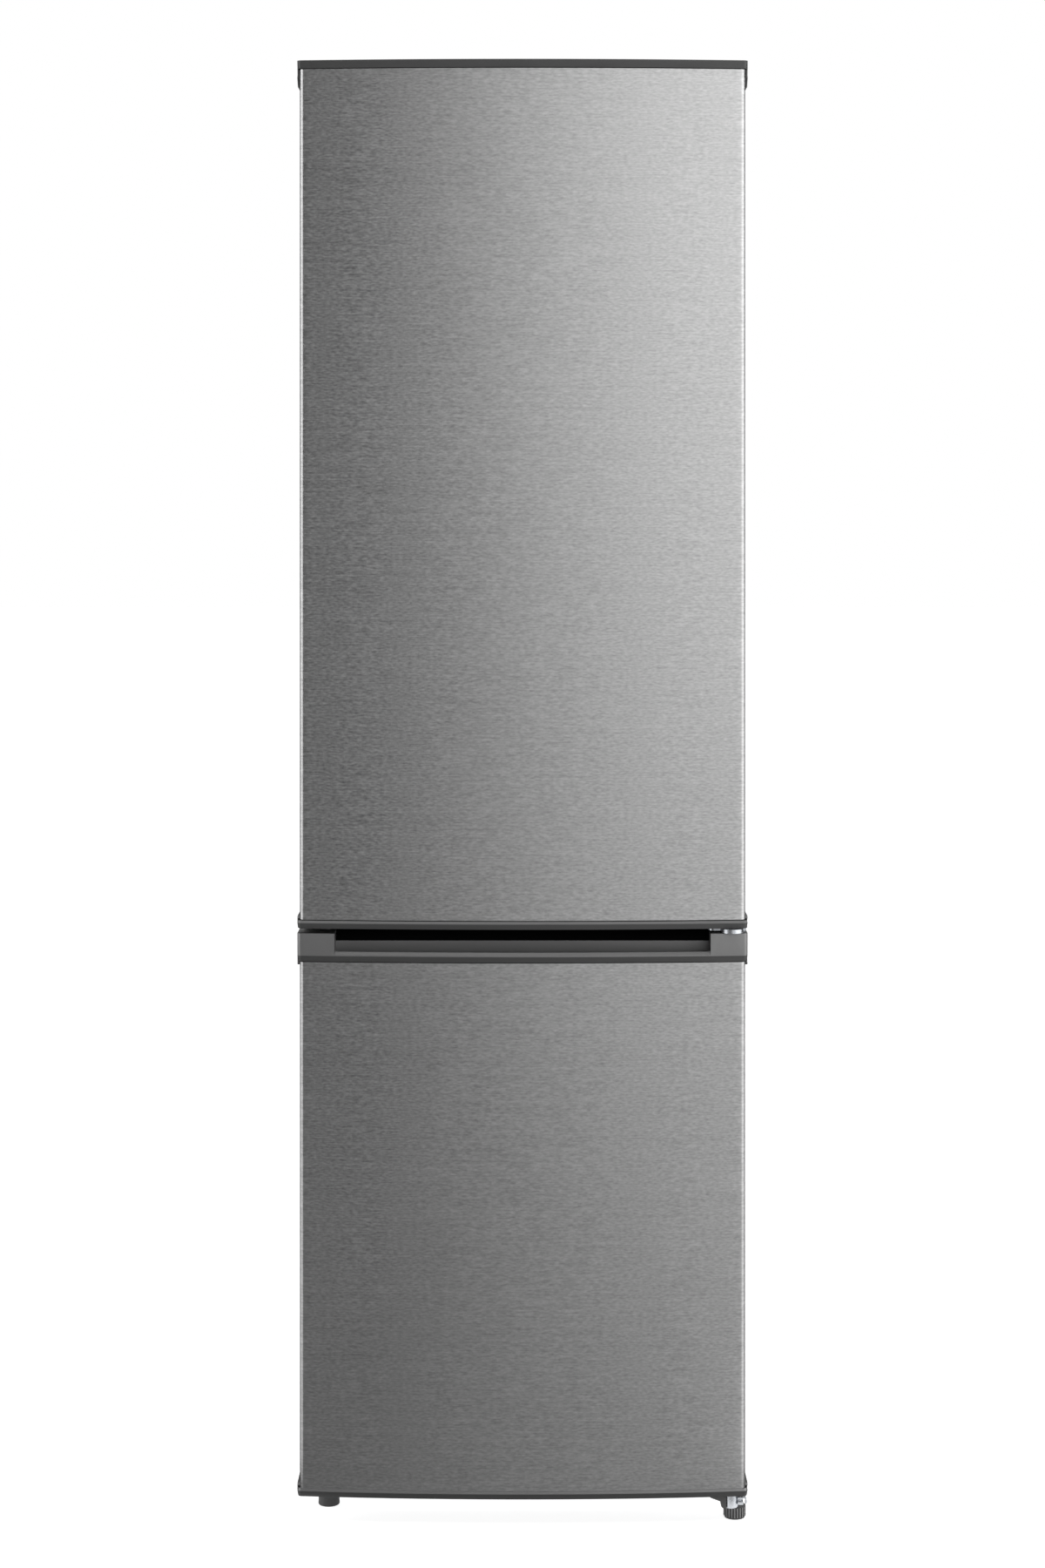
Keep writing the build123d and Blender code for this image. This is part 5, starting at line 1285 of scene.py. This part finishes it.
@dataclass
class Studio:
    """Camera, lamps, white surroundings and the floor."""

    lens: float = 65.3
    eye: Point = (0.0, -3.7555, 1.258)
    shift: float = -0.18
    sight: float = 60.0
    ambient: float = 0.42
    floor_reach: float = 30.0
    floor_tone: float = 0.5
    floor_glow: float = 0.86
    lamps: tuple = (
        Lamp("key", (1.6, -4.4, 2.4), (0.1, -0.27, 1.1), (1.2, 2.4), 30.0),
        Lamp("fill", (0.2, -2.3, 4.4), (0.0, -0.27, 0.9), (2.4, 1.6), 90.0),
        Lamp("right_fill", (3.6, 0.2, 2.4), (0.2, 0.0, 0.9), (1.6, 1.6), 55.0),
        Lamp("left_fill", (-3.6, 0.2, 2.4), (-0.2, 0.0, 0.9), (1.6, 1.6), 55.0),
        Lamp("rear_fill", (0.8, 4.0, 2.6), (0.0, 0.2, 0.9), (1.6, 1.6), 60.0),
    )
    cards: tuple = (
        Card("front_wall", upright((-6.0, -4.6), (3.0, -4.6), 0.0, 3.7), (0.12, 0.02),
             right_tones=(0.89, 2.35), span=(0.0, 4.0), spread=(0.25, 0.09)),
        Card("high_wall", upright((-6.0, -4.65), (3.0, -4.65), 3.7, 9.0), (0.05, 0.05)),
        Card("front_floor", level((-6.0, 3.2), (-4.6, -0.28), 0.012), (0.12, 0.22),
             right_tones=(0.86, 0.46), axis=1, span=(-4.6, -0.28), spread=(0.25, 0.09)),
        Card("right_board", upright((2.02, -3.05), (3.5, -0.94), 0.0, 3.0), (1.9, 2.7)),
        Card("right_board_rear", upright((3.5, -0.94), (3.52, 0.35), 0.0, 3.0), (1.9, 2.7)),
        Card("left_board", upright((-2.8, -2.37), (-3.5, -0.94), 0.0, 3.0), (1.8, 2.6)),
        Card("left_board_rear", upright((-3.5, -0.94), (-3.52, 0.35), 0.0, 3.0), (1.8, 2.6)),
        Card("dark_right", upright((3.5, 0.35), (3.5, 4.3), -0.2, 6.0), (0.04, 0.04)),
        Card("dark_left", upright((-3.5, 0.35), (-3.5, 4.3), -0.2, 6.0), (0.04, 0.04)),
        Card("dark_rear", upright((-3.5, 4.3), (3.5, 4.3), -0.2, 6.0), (0.55, 0.55)),
        Card("right_floor", ((0.32, -0.41, 0.014), (0.418, -0.244, 0.014),
                             (2.02, -3.07, 0.014), (3.52, 0.30, 0.014)),
             (1.3, 1.7), axis=0, span=(0.3, 3.3)),
        Card("left_floor", ((-0.385, -0.366, 0.014), (-0.418, -0.244, 0.014),
                            (-2.8, -2.39, 0.014), (-3.52, 0.30, 0.014)),
             (1.6, 1.2), axis=0, span=(-3.3, -0.3)),
        Card("dark_side_floor_right", level((0.32, 3.5), (-0.28, 4.3), 0.012), (0.08, 0.08)),
        Card("dark_side_floor_left", level((-3.5, -0.32), (-0.28, 4.3), 0.012), (0.08, 0.08)),
    )

    def build(self) -> None:
        """Sets up the whole studio."""
        scene = bpy.context.scene
        scene.view_settings.view_transform = "Standard"
        self.camera()
        self.world()
        self.floor()
        for item in self.lamps + self.cards:
            item.build()

    def camera(self) -> None:
        """Adds the level camera in front of the doors."""
        data = bpy.data.cameras.new("camera")
        data.lens = self.lens
        data.shift_y = self.shift
        data.clip_end = self.sight
        camera = placed("camera", data)
        camera.location = self.eye
        camera.rotation_euler = (radians(90), 0, 0)
        bpy.context.scene.camera = camera

    @staticmethod
    def shown(graph: Graph) -> Socket:
        """Returns 1 for rays that show the background: camera, glossy and transmission."""
        path = graph.add("LightPath").outputs
        first = graph.maths("MAXIMUM", path["Is Camera Ray"], path["Is Glossy Ray"])
        return graph.maths("MAXIMUM", first, path["Is Transmission Ray"])

    def world(self) -> None:
        """Makes the surroundings white to look at and plain as a light."""
        world = bpy.data.worlds.new("surroundings")
        bpy.context.scene.world = world
        world.use_nodes = True
        graph = Graph(world.node_tree)
        background = world.node_tree.nodes["Background"]
        strength = graph.maths("MULTIPLY_ADD", self.shown(graph), 1.0 - self.ambient,
                               self.ambient)
        background.inputs["Color"].default_value = grey(1.0)
        graph.put(background.inputs["Strength"], strength)

    def floor(self) -> None:
        """Adds the pale floor, which keeps the object's shadow."""
        mesh = bpy.data.meshes.new("studio_floor")
        bm = bmesh.new()
        bmesh.ops.create_grid(bm, x_segments=1, y_segments=1, size=self.floor_reach)
        bm.to_mesh(mesh)
        bm.free()
        floor = placed("studio_floor", mesh)
        material, graph = bare_material("studio_floor")
        tree = graph.tree
        diffuse = graph.add("BsdfDiffuse", Color=grey(self.floor_tone))
        glow = graph.add("Emission", Color=grey(1.0), Strength=self.floor_glow)
        both = tree.nodes.new("ShaderNodeAddShader")
        tree.links.new(diffuse.outputs[0], both.inputs[0])
        tree.links.new(glow.outputs[0], both.inputs[1])
        pick = tree.nodes.new("ShaderNodeMixShader")
        graph.put(pick.inputs[0], self.shown(graph))
        tree.links.new(diffuse.outputs[0], pick.inputs[1])
        tree.links.new(both.outputs[0], pick.inputs[2])
        tree.links.new(pick.outputs[0], tree.nodes["Material Output"].inputs["Surface"])
        mesh.materials.append(material)


def main() -> None:
    """Builds the studio, dresses the CAD nodes and adds the modelled pieces."""
    logging.basicConfig(level=logging.INFO, format="%(message)s")
    Studio().build()
    dress_nodes()
    for assembly in (FridgeDoor(), FreezerDoor(), MiddleHinge(), BottomHinge(), LevellingKnob(),
                     Cabinet(), CoolingUnit(), LooseParts()):
        assembly.build()


if __name__ == "__main__":
    main()
